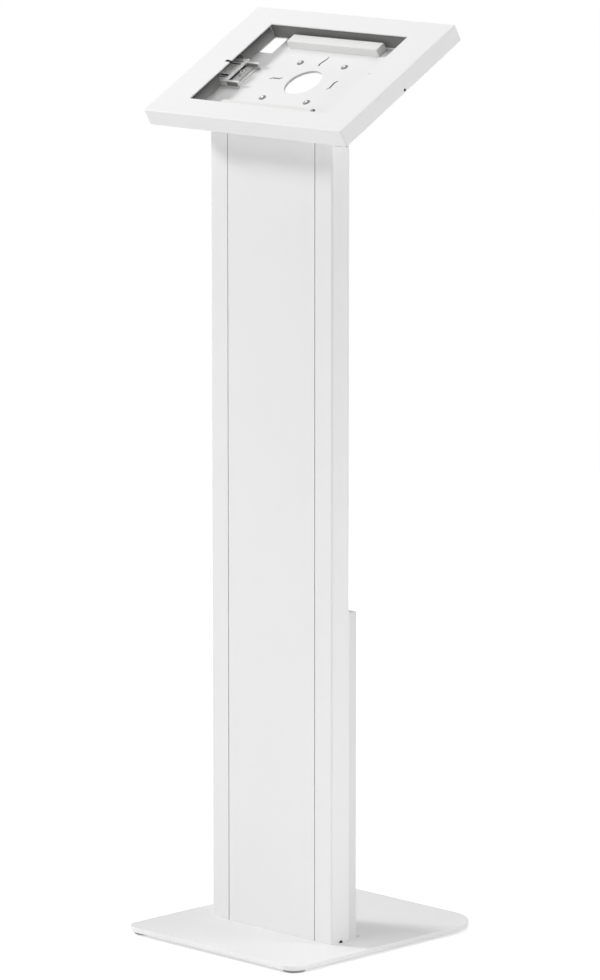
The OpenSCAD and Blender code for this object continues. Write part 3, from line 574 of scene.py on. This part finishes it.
# %% Felt in the lock where it shows shade
# dark felt put where the lock shows shade: painted shade
shade_felt_dark = matt("wool_felt_painted_shade", "#3A3A39", "#2C2C2B", 0.5, 0.1, 0.95)
UPRIGHT_U, UPRIGHT_V, UPRIGHT_N = -111.0, [92.0, 127.0], [-17.2, -14.6]
EAR_U, EAR_TOP = [-108.3, -90.5], -13.2
SLOT_U, SLOT_V, SLOT_N = [-130.8, -115.8], (97.4, 102.5, 125.6, 130.6), [-14.4, -13.0]
TONGUE_U, TONGUE_V, TONGUE_UNDERSIDE = [-121.4, -113.7], [92.6, 135.0], -14.36
lining("slider_felt", UPRIGHT_V, UPRIGHT_N, lambda v, n: on_case(UPRIGHT_U, v, n), RIGHT,
       body="lock_slider", finish=shade_felt_dark)
for name, v, ear_bottom in (("ear_felt_low", 88.0, -19.0), ("ear_felt_high", 128.0, -17.0)):
    lining(name, EAR_U, [ear_bottom, EAR_TOP], lambda u, n: on_case(u, v, n), -UP_SLOPE)
for i, v in enumerate(SLOT_V):
    lining("tongue_slot_felt_%d" % i, SLOT_U, SLOT_N, lambda u, n: on_case(u, v, n), -UP_SLOPE,
           body="lock_slider", finish=shade_felt_dark)
lining("tongue_felt", TONGUE_V, TONGUE_U, lambda v, u: on_case(u, v, TONGUE_UNDERSIDE), -OUT,
       body="lock_slider", finish=shade_felt_dark)
print("lock padded")

# %% [markdown]
# ## Screws, rivets and feet
# These are turned parts, so each is a profile of radius and height spun round its axis once. A drive
# recess is cut into screw heads: a hexagon, or a cross made of two flattened squares. It is given as its
# number of sides, radius, top and depth. A bump could fake it, but a cut takes real shadow.

# %% Spun masters
masters = []
DRIVE_TAPER, CROSS_WIDTH, CROSS_SIDES = 0.8, 0.32, 4

def spun(name, profile, sides=40, drive=None):
    mesh = bmesh.new()
    ring = [mesh.verts.new((r / 1000, 0, z / 1000)) for r, z in profile]
    edges = [mesh.edges.new(pair) for pair in zip(ring, ring[1:])]
    bmesh.ops.spin(mesh, geom=ring + edges, cent=(0, 0, 0), axis=(0, 0, 1), angle=math.tau, steps=sides,
                   use_duplicate=False)
    bmesh.ops.remove_doubles(mesh, verts=mesh.verts, dist=1e-7)
    bmesh.ops.recalc_face_normals(mesh, faces=mesh.faces)
    for face in mesh.faces:
        face.smooth = True
    master = new_object(name, mesh)
    if drive:
        cut_drive(master, *drive)
    masters.append(master)
    return master

def cut_drive(master, sides, radius_mm, top_mm, depth_mm):
    mesh = bmesh.new()
    bmesh.ops.create_cone(mesh, cap_ends=True, segments=sides, radius1=radius_mm * DRIVE_TAPER / 1000,
                          radius2=radius_mm / 1000, depth=2 * depth_mm / 1000,
                          matrix=Matrix.Translation((0, 0, top_mm / 1000)))
    if sides == CROSS_SIDES:
        for vertex in mesh.verts:
            vertex.co.x *= CROSS_WIDTH
        whole = list(mesh.verts) + list(mesh.edges) + list(mesh.faces)
        other = bmesh.ops.duplicate(mesh, geom=whole)["geom"]
        turned = [g for g in other if isinstance(g, bmesh.types.BMVert)]
        bmesh.ops.rotate(mesh, verts=turned, cent=(0, 0, 0), matrix=Matrix.Rotation(math.pi / 2, 3, "Z"))
    cutter = new_object("drive", mesh)
    cut = master.modifiers.new("drive", "BOOLEAN")
    cut.object, cut.operation, cut.solver, cut.use_self = cutter, "DIFFERENCE", "EXACT", True
    apply_modifiers(master)
    bpy.data.objects.remove(cutter)

print("a drive recess narrows to", DRIVE_TAPER, "of its width")

# %% [markdown]
# Geometry Nodes set the one master on every place: a tree takes the master, its axis and a seed for the
# turn that each screw was left at, and ends in real geometry. Its inputs are set by their identifiers.

# %% The tree that repeats a master
RANDOM_MIN, RANDOM_MAX, RANDOM_VALUE = 2, 3, 1

def repeat_tree():
    tree = bpy.data.node_groups.new("repeat_on_points", "GeometryNodeTree")
    face = tree.interface
    face.new_socket("Geometry", in_out="INPUT", socket_type="NodeSocketGeometry")
    kinds = {"Master": "Object", "Axis": "Vector", "Turn": "Float", "Seed": "Int", "Finish": "Material"}
    ids = {name: face.new_socket(name, in_out="INPUT", socket_type="NodeSocket" + kind).identifier
           for name, kind in kinds.items()}
    face.new_socket("Geometry", in_out="OUTPUT", socket_type="NodeSocketGeometry")
    start = add(tree, "NodeGroupInput").outputs
    master = add(tree, "GeometryNodeObjectInfo", inputs={"Object": start["Master"]})
    aim = add(tree, "FunctionNodeAlignRotationToVector", {"axis": "Z"}, {"Vector": start["Axis"]})
    chance = add(tree, "FunctionNodeRandomValue", {"data_type": "FLOAT"},
                 {"Seed": start["Seed"], RANDOM_MIN: -1.0, RANDOM_MAX: 1.0})
    angle = add(tree, "ShaderNodeMath", {"operation": "MULTIPLY"},
                {0: chance.outputs[RANDOM_VALUE], 1: start["Turn"]})
    spin = add(tree, "FunctionNodeAxisAngleToRotation",
               inputs={"Axis": (0, 0, 1), "Angle": angle.outputs["Value"]})
    turn = add(tree, "FunctionNodeRotateRotation", {"rotation_space": "LOCAL"},
               {"Rotation": aim.outputs["Rotation"], "Rotate By": spin.outputs["Rotation"]})
    copies = add(tree, "GeometryNodeInstanceOnPoints", inputs={
        "Points": start["Geometry"], "Instance": master.outputs["Geometry"],
        "Rotation": turn.outputs["Rotation"]})
    solid = add(tree, "GeometryNodeRealizeInstances", inputs={"Geometry": copies.outputs["Instances"]})
    coat = add(tree, "GeometryNodeSetMaterial",
               inputs={"Geometry": solid.outputs["Geometry"], "Material": start["Finish"]})
    add(tree, "NodeGroupOutput", inputs={"Geometry": coat.outputs["Geometry"]})
    return tree, ids

REPEAT, REPEAT_IDS = repeat_tree()

def repeated(name, master, points, direction, finish, body, turn=math.pi, seed=3):
    data = bpy.data.meshes.new(name + "_points")
    data.from_pydata([tuple(p) for p in points], [], [])
    obj = bpy.data.objects.new(name, data)
    bpy.context.scene.collection.objects.link(obj)
    maker = obj.modifiers.new("repeat", "NODES")
    maker.node_group = REPEAT
    values = {"Master": master, "Axis": tuple(direction), "Turn": turn, "Seed": seed, "Finish": finish}
    for key, value in values.items():
        maker[REPEAT_IDS[key]] = value
    apply_modifiers(obj)
    settle(obj, finish)
    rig.ride(obj, body)
    return obj

print("tree of", len(REPEAT.nodes), "nodes with inputs", list(REPEAT_IDS))

# %% [markdown]
# The four mounting screws in the tray have low domed heads with a hexagon recess, 8.4 mm across on the
# standard 75 mm square. Their place comes from the CAD node's own box, measured in the case's axes.
# The middle of each head, round the recess, takes a brighter finish: a painted highlight.

# %% Screws in the tray
PAN_R, HIGHLIGHT_R, HIGHLIGHT_FROM = 4.2, 1.75, 0.0005
pan = spun("pan_head", [(0, -7.6), (1.6, -7.6), (2.0, -7.1), (2.0, 0), (PAN_R, 0), (PAN_R, 0.2), (3.9, 0.55),
                        (3.2, 0.85), (2.3, 1.1), (1.7, 1.2), (1.6, 1.2), (0, 1.2)], drive=(6, 1.3, 1.2, 0.35))
low, high = case_corners("mount_screws")
TRAY_FLOOR = case_corners("support_upper")[0].z
mount_places = [on_case(u, v, TRAY_FLOOR)
                for u in (low.x + PAN_R, high.x - PAN_R) for v in (low.y + PAN_R, high.y - PAN_R)]
tray_screws = repeated("tray_screws", pan, mount_places, OUT, flake_zinc, "stand")
replace_node(tray_screws, "mount_screws")
# faces near each head's axis and above its base take the bright finish: painted highlight
tray_screws.data.materials.append(highlight_zinc)
for polygon in tray_screws.data.polygons:
    offset = min((polygon.center - p for p in mount_places), key=lambda d: d.length)
    beside = (offset - OUT * offset.dot(OUT)).length * 1000
    polygon.material_index = int(beside < HIGHLIGHT_R and offset.dot(OUT) > HIGHLIGHT_FROM)
print(sum(f.material_index for f in tray_screws.data.polygons), "faces with painted highlight")

# %% [markdown]
# Two small cross-headed screws hold the key lock's housing from behind. They are spun and cut like the
# others, because a plain disc would look unfinished from below, and their places come from the CAD too.

# %% Screws behind the lock
SMALL_PAN_R, SMALL_PAN_H = 2.75, 1.6
small_pan = spun("small_pan_head", [(0, -4.9), (1.2, -4.9), (1.5, -4.6), (1.5, 0), (SMALL_PAN_R, 0),
                                    (SMALL_PAN_R, 0.7), (2.4, 1.3), (1.6, SMALL_PAN_H), (0, SMALL_PAN_H)],
                 drive=(CROSS_SIDES, 1.4, SMALL_PAN_H, 1.0))
low, high = case_corners("lock_screws")
places = [on_case((low.x + high.x) / 2, v, low.z + SMALL_PAN_H)
          for v in (low.y + SMALL_PAN_R, high.y - SMALL_PAN_R)]
lock_screws = repeated("lock_housing_screws", small_pan, places, -OUT, zinc, "stand", seed=5)
replace_node(lock_screws, "lock_screws")
print("screws:", len(tray_screws.data.polygons), "and", len(lock_screws.data.polygons), "faces")

# %% [markdown]
# Small pieces lie in the tray with them: a grey washer round each mounting screw, a black rubber cap on
# the earth screw near the lower edge, a pale grey rubber trim in the cable hole that darkens its wall as
# painted shade, and on the lock's crank pin a nylon washer under a black clip that keeps the slider down.

# %% Washers, earth screw and hole trim
EARTH_PLACE, CABLE_HOLE, CRANK_PIN = (61, 59), (0, 111.5), (-107, 116)
black_rubber = matt("moulded_rubber_black", "#1C1C1C", "#101010", 0.6, 0.05, 0.85)
pale_rubber = matt("moulded_rubber_pale", "#DEDEDC", "#CFCFCD", 0.6, 0.05, 0.75)
nylon = matt("moulded_nylon_white", "#F8F8F7", "#EFEFED", 0.6, 0.03, 0.5)
washer = spun("washer", [(4.25, 0), (4.7, 0), (4.7, 0.2), (4.6, 0.3), (4.25, 0.3), (4.25, 0)])
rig.slot(repeated("mount_screw_washers", washer, mount_places, OUT, flake_zinc, "stand"), "zinc_plated_steel")
earth = spun("earth_screw", [(0, -2.4), (1.8, -2.4), (2.0, -2.1), (2.0, 0), (2.9, 0), (2.9, 0.5), (2.5, 1.2),
                             (1.7, 1.6), (0, 1.7)], drive=(6, 1.1, 1.7, 0.9))
earth_place = [on_case(*EARTH_PLACE, TRAY_FLOOR)]
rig.slot(repeated("earth_screw", earth, earth_place, OUT, black_rubber, "stand"), "black_oxide_steel")
# a pale grey trim on the cable hole's wall, a shade darker than the tray: painted shade
trim = spun("cable_hole_trim", [(24.95, -3.0), (24.7, -3.0), (24.6, -2.9), (24.6, -0.25), (24.7, -0.15),
                                (24.95, -0.15), (24.95, -3.0)], sides=96)
hole_place = [on_case(*CABLE_HOLE, TRAY_FLOOR)]
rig.slot(repeated("cable_hole_trim", trim, hole_place, OUT, pale_rubber, "stand", turn=0.0), "grey_rubber")
keeper = spun("crank_washer", [(1.6, 0), (3.5, 0), (3.6, 0.1), (3.6, 0.5), (3.5, 0.6), (1.7, 0.6), (1.6, 0.5),
                               (1.6, 0)])
pin_place = [on_case(*CRANK_PIN, case_corners("lock_cam")[1].z)]
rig.slot(repeated("crank_washer", keeper, pin_place, OUT, nylon, "lock_plug", turn=0.0), "white_foam")
clip = spun("crank_clip", [(0, 0.0), (1.5, 0.0), (1.5, 0.35), (1.35, 0.5), (0.5, 0.55), (0, 0.4)])
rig.slot(repeated("crank_clip", clip, pin_place, OUT, black_steel, "lock_plug", turn=0.0), "black_oxide_steel")
print("small tray pieces made")

# %% [markdown]
# Black rubber fills the three tie slots nearly to the tray's face, so that they show black: painted
# shade. A slot is straight for 12 mm and bends off for 4 mm at one end or at both, so its filling is
# one straight bar and a bent one for each end.

# %% Black filling in the tie slots: painted shade
TRAY_T, SLOT_HALF_L, HOOK_L = 1.5, 6.0, 4.0
TIE_SLOTS = (dict(u=-49, v=114.5, turn_deg=0, bend_deg=42, level=-1.0, ends=(0, 180)),
             dict(u=-4, v=156.5, turn_deg=76, bend_deg=28, level=-0.2, ends=(180,)),
             dict(u=48.5, v=112, turn_deg=95, bend_deg=-50, level=-0.2, ends=(0,)))

def slot_filling(mesh, u, v, turn_deg, bend_deg, level, ends):
    bars = [(0, 0, -SLOT_HALF_L, 2 * SLOT_HALF_L)] + [(end, bend_deg, SLOT_HALF_L, HOOK_L) for end in ends]
    for side_deg, angle, start, length in bars:
        side, way = math.radians(turn_deg + side_deg), math.radians(turn_deg + side_deg + angle)
        along, over = Vector((math.cos(way), math.sin(way), 0)), Vector((-math.sin(way), math.cos(way), 0))
        origin = Vector((u, v, TRAY_FLOOR - TRAY_T)) + Vector((math.cos(side), math.sin(side), 0)) * start
        tip = origin + along * length
        ring = [origin - over, tip - over, tip + over, origin + over]
        lower = [mesh.verts.new(on_case(*p)) for p in ring]
        upper = [mesh.verts.new(on_case(*(p + Vector((0, 0, TRAY_T + level))))) for p in ring]
        mesh.faces.new(upper)
        mesh.faces.new(lower[::-1])
        for i in range(4):
            mesh.faces.new([lower[i], lower[(i + 1) % 4], upper[(i + 1) % 4], upper[i]])

mesh = bmesh.new()
for tie_slot in TIE_SLOTS:
    slot_filling(mesh, **tie_slot)
# black filling that makes the tie slots show dark: painted shade
slot_shade = new_object("slot_gasket", mesh)
settle(slot_shade, black_rubber)
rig.ride(slot_shade, "stand")
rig.slot(slot_shade, "black_oxide_steel")
print("painted shade in", len(TIE_SLOTS), "slots")

# %% [markdown]
# Black rubber also closes two cuts: a trim on the far side of the frame's finger notch, which follows
# its round end, and a half-round plug in the cable notch at each foot of the column. Both make shaded
# hollows show black: painted shade.

# %% Black trim and plugs in shaded notches
NOTCH_V, NOTCH_R, NOTCH_END, NOTCH_N = 112.4, 2.0, -123.0, [-1.4, -0.1]
PLUG_Y, PLUG_R, PLUG_BACK, PLUG_SINK = -43.0, 3.15, 2.0, 0.35

def notch_side(u):
    return NOTCH_V + (NOTCH_R if u >= NOTCH_END else math.sqrt(NOTCH_R ** 2 - (u - NOTCH_END) ** 2))

steps = [NOTCH_END + past for past in (-1.6, -1.3, -0.9, -0.4, 0, 2, 4)]
# black trim on the notch's far wall: painted shade
lining("notch_trim", steps, NOTCH_N, lambda u, n: on_case(u, notch_side(u), n), -UP_SLOPE,
       body="frame", finish=black_rubber)
half_turn = [math.radians(d) for d in range(0, 181, 12)]
half_round = [(PLUG_Y + PLUG_R * math.cos(a), BASE_TOP + PLUG_R * math.sin(a)) for a in half_turn]
# black half-round plugs in the foot notches: painted shade
for side, sign in SIDES:
    strip("foot_plug_" + side, half_round, (SIDE - PLUG_BACK, SIDE - PLUG_SINK),
          lambda y, z, x: (sign * x / 1000, y / 1000, z / 1000), black_rubber, "black_oxide_steel")
print("notch trimmed, feet plugged")

# %% [markdown]
# Button-headed screws hold the rear cover, and set screws the head bracket. The hinge's rivets have
# a domed head on both ends. All of these stand for CAD solids at the same places.

# %% Cover screws, set screws and rivets
BUTTON_R, BUTTON_H, RIVET_R, RIVET_HEAD_R, RIVET_HEAD_H = 3.8, 2.2, 2.0, 3.0, 1.2
button = spun("button_head", [(0, -9.0), (1.7, -9.0), (2.0, -8.6), (2.0, 0), (BUTTON_R, 0), (BUTTON_R, 0.4),
                              (3.5, 1.1), (2.8, 1.75), (1.9, 2.1), (0, BUTTON_H)],
              drive=(6, 1.45, BUTTON_H, 1.3))
low, high = (Vector(c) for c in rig.box("cover_screws"))
inset = BUTTON_R / 1000
places = [Vector((x, high.y - BUTTON_H / 1000, z))
          for x in (low.x + inset, high.x - inset) for z in (low.z + inset, high.z - inset)]
cover_screws = repeated("cover_button_screws", button, places, (0, 1, 0), zinc, "stand", seed=8)
replace_node(cover_screws, "cover_screws")
grub = spun("set_screw", [(0, -4.4), (1.5, -4.4), (2.0, -3.9), (2.0, -0.2), (1.8, 0), (0, 0)],
            drive=(6, 1.15, 0, 1.7))
low, high = (Vector(c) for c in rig.box("side_screws"))
middle = (low + high) / 2
side_right = repeated("set_screw_right", grub, [Vector((high.x, middle.y, middle.z))], (1, 0, 0),
                      black_steel, "stand")
side_left = repeated("set_screw_left", grub, [Vector((low.x, middle.y, middle.z))], (-1, 0, 0),
                     black_steel, "stand", seed=6)
replace_node(side_right, "side_screws")
replace_node(side_left, "side_screws")
low, high = case_corners("hinge_rivets")
length = high.z - low.z
rivet = spun("rivet", [(0, -length), (RIVET_R, -length), (2.8, -length + 0.5),
                       (RIVET_HEAD_R, -length + RIVET_HEAD_H), (RIVET_R, -length + RIVET_HEAD_H),
                       (RIVET_R, -RIVET_HEAD_H), (RIVET_HEAD_R, -RIVET_HEAD_H), (2.8, -0.5), (RIVET_R, 0),
                       (0, 0)])
places = [on_case((low.x + high.x) / 2, v, high.z) for v in (low.y + RIVET_HEAD_R, high.y - RIVET_HEAD_R)]
rivets = repeated("hinge_dome_rivets", rivet, places, OUT, zinc, "stand", turn=0.0)
replace_node(rivets, "hinge_rivets")
print("cover screws, set screws and rivets made")

# %% [markdown]
# The frame's hinge screw is flush and black. Countersunk bolts from below hold the column. Both are
# turned parts again, so they are spun too, and the bolts' length comes from the CAD node's box.

# %% Hinge screw and bolts
BOLT_HEAD_R = 6.0
low, high = case_corners("hinge_screw")
flush = spun("flush_screw", [(0, -3.1), (1.0, -3.1), (1.2, -2.9), (1.2, -1.3), (1.8, -1.3), (1.8, -0.1),
                             (1.7, 0), (0, 0)], drive=(6, 0.95, 0, 0.8))
places = [on_case(high.x, (low.y + high.y) / 2, (low.z + high.z) / 2)]
hinge_screw = repeated("hinge_flush_screw", flush, places, RIGHT, black_steel, "frame")
replace_node(hinge_screw, "hinge_screw")
low, high = (Vector(c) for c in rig.box("base_bolts"))
bolt_height = (high.z - low.z) * 1000
bolt = spun("countersunk_bolt", [(0, -bolt_height), (2.6, -bolt_height), (3.0, -bolt_height + 0.5),
                                 (3.0, -3.0), (BOLT_HEAD_R, 0), (0, 0)], drive=(6, 2.3, 0, 2.4))
inset = BOLT_HEAD_R / 1000
places = [Vector((x, y, low.z))
          for x in (low.x + inset, high.x - inset) for y in (low.y + inset, high.y - inset)]
bolts = repeated("column_bolts", bolt, places, (0, 0, -1), zinc, "stand", seed=11)
replace_node(bolts, "base_bolts")
print("hinge screw and", len(places), "bolts made")

# %% [markdown]
# Each rubber foot is a moulded disc with rings in its sole and a screw in its middle. The rings could be
# a bump, but here they are steps in the spun profile, so that the mesh has them too.

# %% Feet
FOOT_PLACES = ((130, -149.5), (122, 141.5))
foot_places = [Vector((sign * x / 1000, y / 1000, 0)) for sign in (-1, 1) for x, y in FOOT_PLACES]
foot = spun("foot", [(2.05, 4.0), (13.6, 4.0), (14.0, 3.6), (14.0, 0.5), (13.5, 0), (11.5, 0), (11.2, 0.35),
                     (10.4, 0.35), (10.1, 0), (8.2, 0), (7.9, 0.35), (7.1, 0.35), (6.8, 0), (4.5, 0),
                     (4.5, 2.4), (2.05, 2.4), (2.05, 4.0)], sides=64)
feet = repeated("rubber_feet", foot, foot_places, (0, 0, 1), rubber, "stand", turn=0.0)
replace_node(feet, "feet")
low, high = (Vector(c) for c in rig.box("foot_screws"))
screw_height = (high.z - low.z) * 1000
foot_screw = spun("foot_screw", [(0, 0), (3.4, 0), (4.0, 0.7), (4.0, 2.0), (2.0, 2.0),
                                 (2.0, screw_height - 0.5), (1.5, screw_height), (0, screw_height)])
places = [p + Vector((0, 0, low.z)) for p in foot_places]
foot_screws = repeated("foot_pan_screws", foot_screw, places, (0, 0, 1), zinc, "stand", turn=0.0)
replace_node(foot_screws, "foot_screws")
print("feet at", [[round(c, 3) for c in p] for p in foot_places])

# %% [markdown]
# ## Welds
# The bracket's arms are welded to its flange and plate before coating. A weld is a row of overlapping
# ripples about 2.4 mm apart, which is a repeat along a line: the same tree sets a flattened drop on
# evenly spaced points.

# %% Weld beads
RIPPLE_MM, ARM_T, PLATE_WELD_LOW, PLATE_WELD_HIGH = 2.4, 0.003, 62, 156
FLANGE_WELD_START, FLANGE_WELD_END = 0.002, 0.023
drop = spun("weld_ripple", [(0, 1.5), (0.8, 1.35), (1.5, 0.8), (1.8, 0.0), (1.5, -0.6), (0, -0.8)], sides=14)
arm_low, arm_high = (Vector(c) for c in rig.box("bracket_arms"))
flange_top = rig.box("head_flange")[1][2]
plate_back = case_corners("bracket_plate")[0].z

def row(start, end, step_mm):
    count = max(2, int((end - start).length * 1000 / step_mm))
    return [start.lerp(end, i / (count - 1)) for i in range(count)]

bead_points, plate_points = [], []
for x in (arm_low.x, arm_low.x + ARM_T, arm_high.x - ARM_T, arm_high.x):
    bead_points += row(Vector((x, arm_low.y + FLANGE_WELD_START, flange_top)),
                       Vector((x, arm_low.y + FLANGE_WELD_END, flange_top)), RIPPLE_MM)
    plate_points += row(on_case(x * 1000, PLATE_WELD_LOW, plate_back),
                        on_case(x * 1000, PLATE_WELD_HIGH, plate_back), RIPPLE_MM)
beads = repeated("flange_weld_beads", drop, bead_points, (0, 0, 1), white_coat, "stand")
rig.slot(beads, "white_powder_coat")
plate_beads = repeated("plate_weld_beads", drop, plate_points, -OUT, white_coat, "stand", seed=4)
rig.slot(plate_beads, "white_powder_coat")
print(len(bead_points) + len(plate_points), "weld ripples")

# %% [markdown]
# Spot welds on the pocket walls' feet are shallow rings in a row, about along the middle of each foot.
# The same tree repeats them. After them no more masters are needed, so these are removed.

# %% Spot welds
SPOT_STEP_MM, SPOT_INSET, SPOT_BACK, WALL_T, MIDDLE_V = 24, 12, 4.5, 1.2, 100
spot = spun("spot_weld", [(0, -0.02), (1.6, 0.0), (2.2, 0.14), (2.6, 0.0), (2.6, -0.05)], sides=20)
spot_points = []
for name in ("wall_top", "wall_bottom"):
    low, high = case_corners(name)
    v = high.y - SPOT_BACK if low.y > MIDDLE_V else low.y + SPOT_BACK
    spot_points += row(on_case(low.x + SPOT_INSET, v, low.z + WALL_T),
                       on_case(high.x - SPOT_INSET, v, low.z + WALL_T), SPOT_STEP_MM)
for name in ("wall_left", "wall_right"):
    low, high = case_corners(name)
    u = low.x + SPOT_BACK if low.x < 0 else high.x - SPOT_BACK
    spot_points += row(on_case(u, low.y + SPOT_INSET, low.z + WALL_T),
                       on_case(u, high.y - SPOT_INSET, low.z + WALL_T), SPOT_STEP_MM)
spots = repeated("spot_welds", spot, spot_points, OUT, white_coat, "stand", turn=0.0)
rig.slot(spots, "white_powder_coat")
for master in masters:
    bpy.data.objects.remove(master)
print(len(spot_points), "spot welds")

# %% [markdown]
# ## Light, floor and camera
# A white object on white needs light that is soft but not equal from all sides: a small key lamp on the
# left that draws the shadows, large weak fills from above, from the right and from the front, and a
# faint surround. The floor is white where the camera sees it straight, and still takes a faint shadow.

# %% Floor and surround
SURROUND, BACKDROP, FLOOR_LIFT, FLOOR_RADIUS = 0.2, 1.0, 0.5, 3.5
WHITE = linear("#FFFFFF")

def empty_tree(owner):
    owner.use_nodes = True
    owner.node_tree.nodes.clear()
    return owner.node_tree

def seen_straight(tree):
    path = add(tree, "ShaderNodeLightPath").outputs
    seen = path["Is Camera Ray"]
    for ray in ("Is Glossy Ray", "Is Transmission Ray"):
        either = add(tree, "ShaderNodeMath", {"operation": "MAXIMUM"}, {0: seen, 1: path[ray]})
        seen = either.outputs["Value"]
    return seen

world = bpy.data.worlds.new("studio_white")
bpy.context.scene.world = world
tree = empty_tree(world)
fill = add(tree, "ShaderNodeBackground", inputs={"Color": WHITE, "Strength": SURROUND})
backdrop = add(tree, "ShaderNodeBackground", inputs={"Color": WHITE, "Strength": BACKDROP})
mixed = add(tree, "ShaderNodeMixShader", inputs={
    "Fac": seen_straight(tree), 1: fill.outputs["Background"], 2: backdrop.outputs["Background"]})
add(tree, "ShaderNodeOutputWorld", inputs={"Surface": mixed.outputs["Shader"]})

bpy.ops.mesh.primitive_circle_add(vertices=96, radius=FLOOR_RADIUS, fill_type="NGON", location=(0, 0, 0))
floor = bpy.context.object
floor.name = "studio_floor"
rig.stage(floor)
floor_paint = bpy.data.materials.new("matt_white_floor")
tree = empty_tree(floor_paint)
matt_white = add(tree, "ShaderNodeBsdfDiffuse", inputs={"Color": linear("#F4F4F4")})
amount = add(tree, "ShaderNodeMath", {"operation": "MULTIPLY"}, {0: seen_straight(tree), 1: FLOOR_LIFT})
lift = add(tree, "ShaderNodeEmission", inputs={"Color": WHITE, "Strength": amount.outputs["Value"]})
both = add(tree, "ShaderNodeAddShader", inputs={0: matt_white.outputs["BSDF"], 1: lift.outputs["Emission"]})
add(tree, "ShaderNodeOutputMaterial", inputs={"Surface": both.outputs["Shader"]})
floor.data.materials.append(floor_paint)
print("floor and surround made")

# %% [markdown]
# The lamps are areas a few metres away, so shadows have no hard edge. A spot lamp also lights the floor
# on the right, and the floor throws that light up at the column's side, less near the dark base.

# %% Lamps
WASH_BLEND, WASH_SOFTNESS = 0.4, 0.2

def point(name, data, place, aim):
    obj = bpy.data.objects.new(name, data)
    obj.location = place
    obj.rotation_euler = (Vector(aim) - Vector(place)).to_track_quat("-Z", "Y").to_euler()
    bpy.context.scene.collection.objects.link(obj)

def lamp(name, place, aim, size, power):
    data = bpy.data.lights.new(name, "AREA")
    data.shape, data.size, data.energy = "DISK", size, power
    point(name, data, place, aim)

def floor_wash(name, place, aim, cone_deg, power):
    data = bpy.data.lights.new(name, "SPOT")
    data.energy, data.spot_size = power, math.radians(cone_deg)
    data.spot_blend, data.shadow_soft_size = WASH_BLEND, WASH_SOFTNESS
    point(name, data, place, aim)

lamp("key_left", (-4.14, -1.84, 2.91), (0, 0, 0.8), size=0.9, power=162)
lamp("overhead", (0, 0, 5.0), (0, 0, 0.8), size=3.0, power=57)
lamp("fill_right", (4.6, -1.2, 0.9), (0, 0, 0.6), size=3.4, power=26)
lamp("fill_back", (4.0, 2.4, 2.6), (0, 0, 0.6), size=2.4, power=69)
lamp("fill_front", (-1.0, -5.0, 1.4), (0, 0, 0.6), size=2.4, power=37)
floor_wash("floor_right", (0.95, -0.2, 2.4), (0.87, -0.2, 0), cone_deg=32, power=170)
print("lamps set")

# %% [markdown]
# The camera is 45 degrees to the right and looks 10 degrees down with a long lens, as in the photograph.
# Its place and lens were fitted to edges in the photograph, because guessed ones would not line up.

# %% Camera
LENS_MM, SENSOR_MM, LOOK_DOWN_DEG, FROM_RIGHT_DEG = 216.546, 36.0, 9.948, 44.99
lens = bpy.data.cameras.new("photo_lens")
lens.sensor_fit, lens.sensor_height, lens.lens = "VERTICAL", SENSOR_MM, LENS_MM
lens.clip_end = 100
camera = bpy.data.objects.new("photo_camera", lens)
camera.location = (5.01404, -5.02505, 1.79826)
camera.rotation_euler = (math.radians(90 - LOOK_DOWN_DEG), 0, math.radians(FROM_RIGHT_DEG))
bpy.context.scene.collection.objects.link(camera)
bpy.context.scene.camera = camera
bpy.context.scene.view_settings.view_transform = "Standard"
print("camera at", [round(c, 3) for c in camera.location])

# %% [markdown]
# Last, the visual model's box and the CAD box are written side by side to extents.json. A finish that
# grew past the solids would show there.

# %% Sizes and finish
json.dump({"cad": [list(c) for c in cad_box], "visual": [list(c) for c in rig.bounds()]}, open("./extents.json", "w"))
print(open("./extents.json").read())
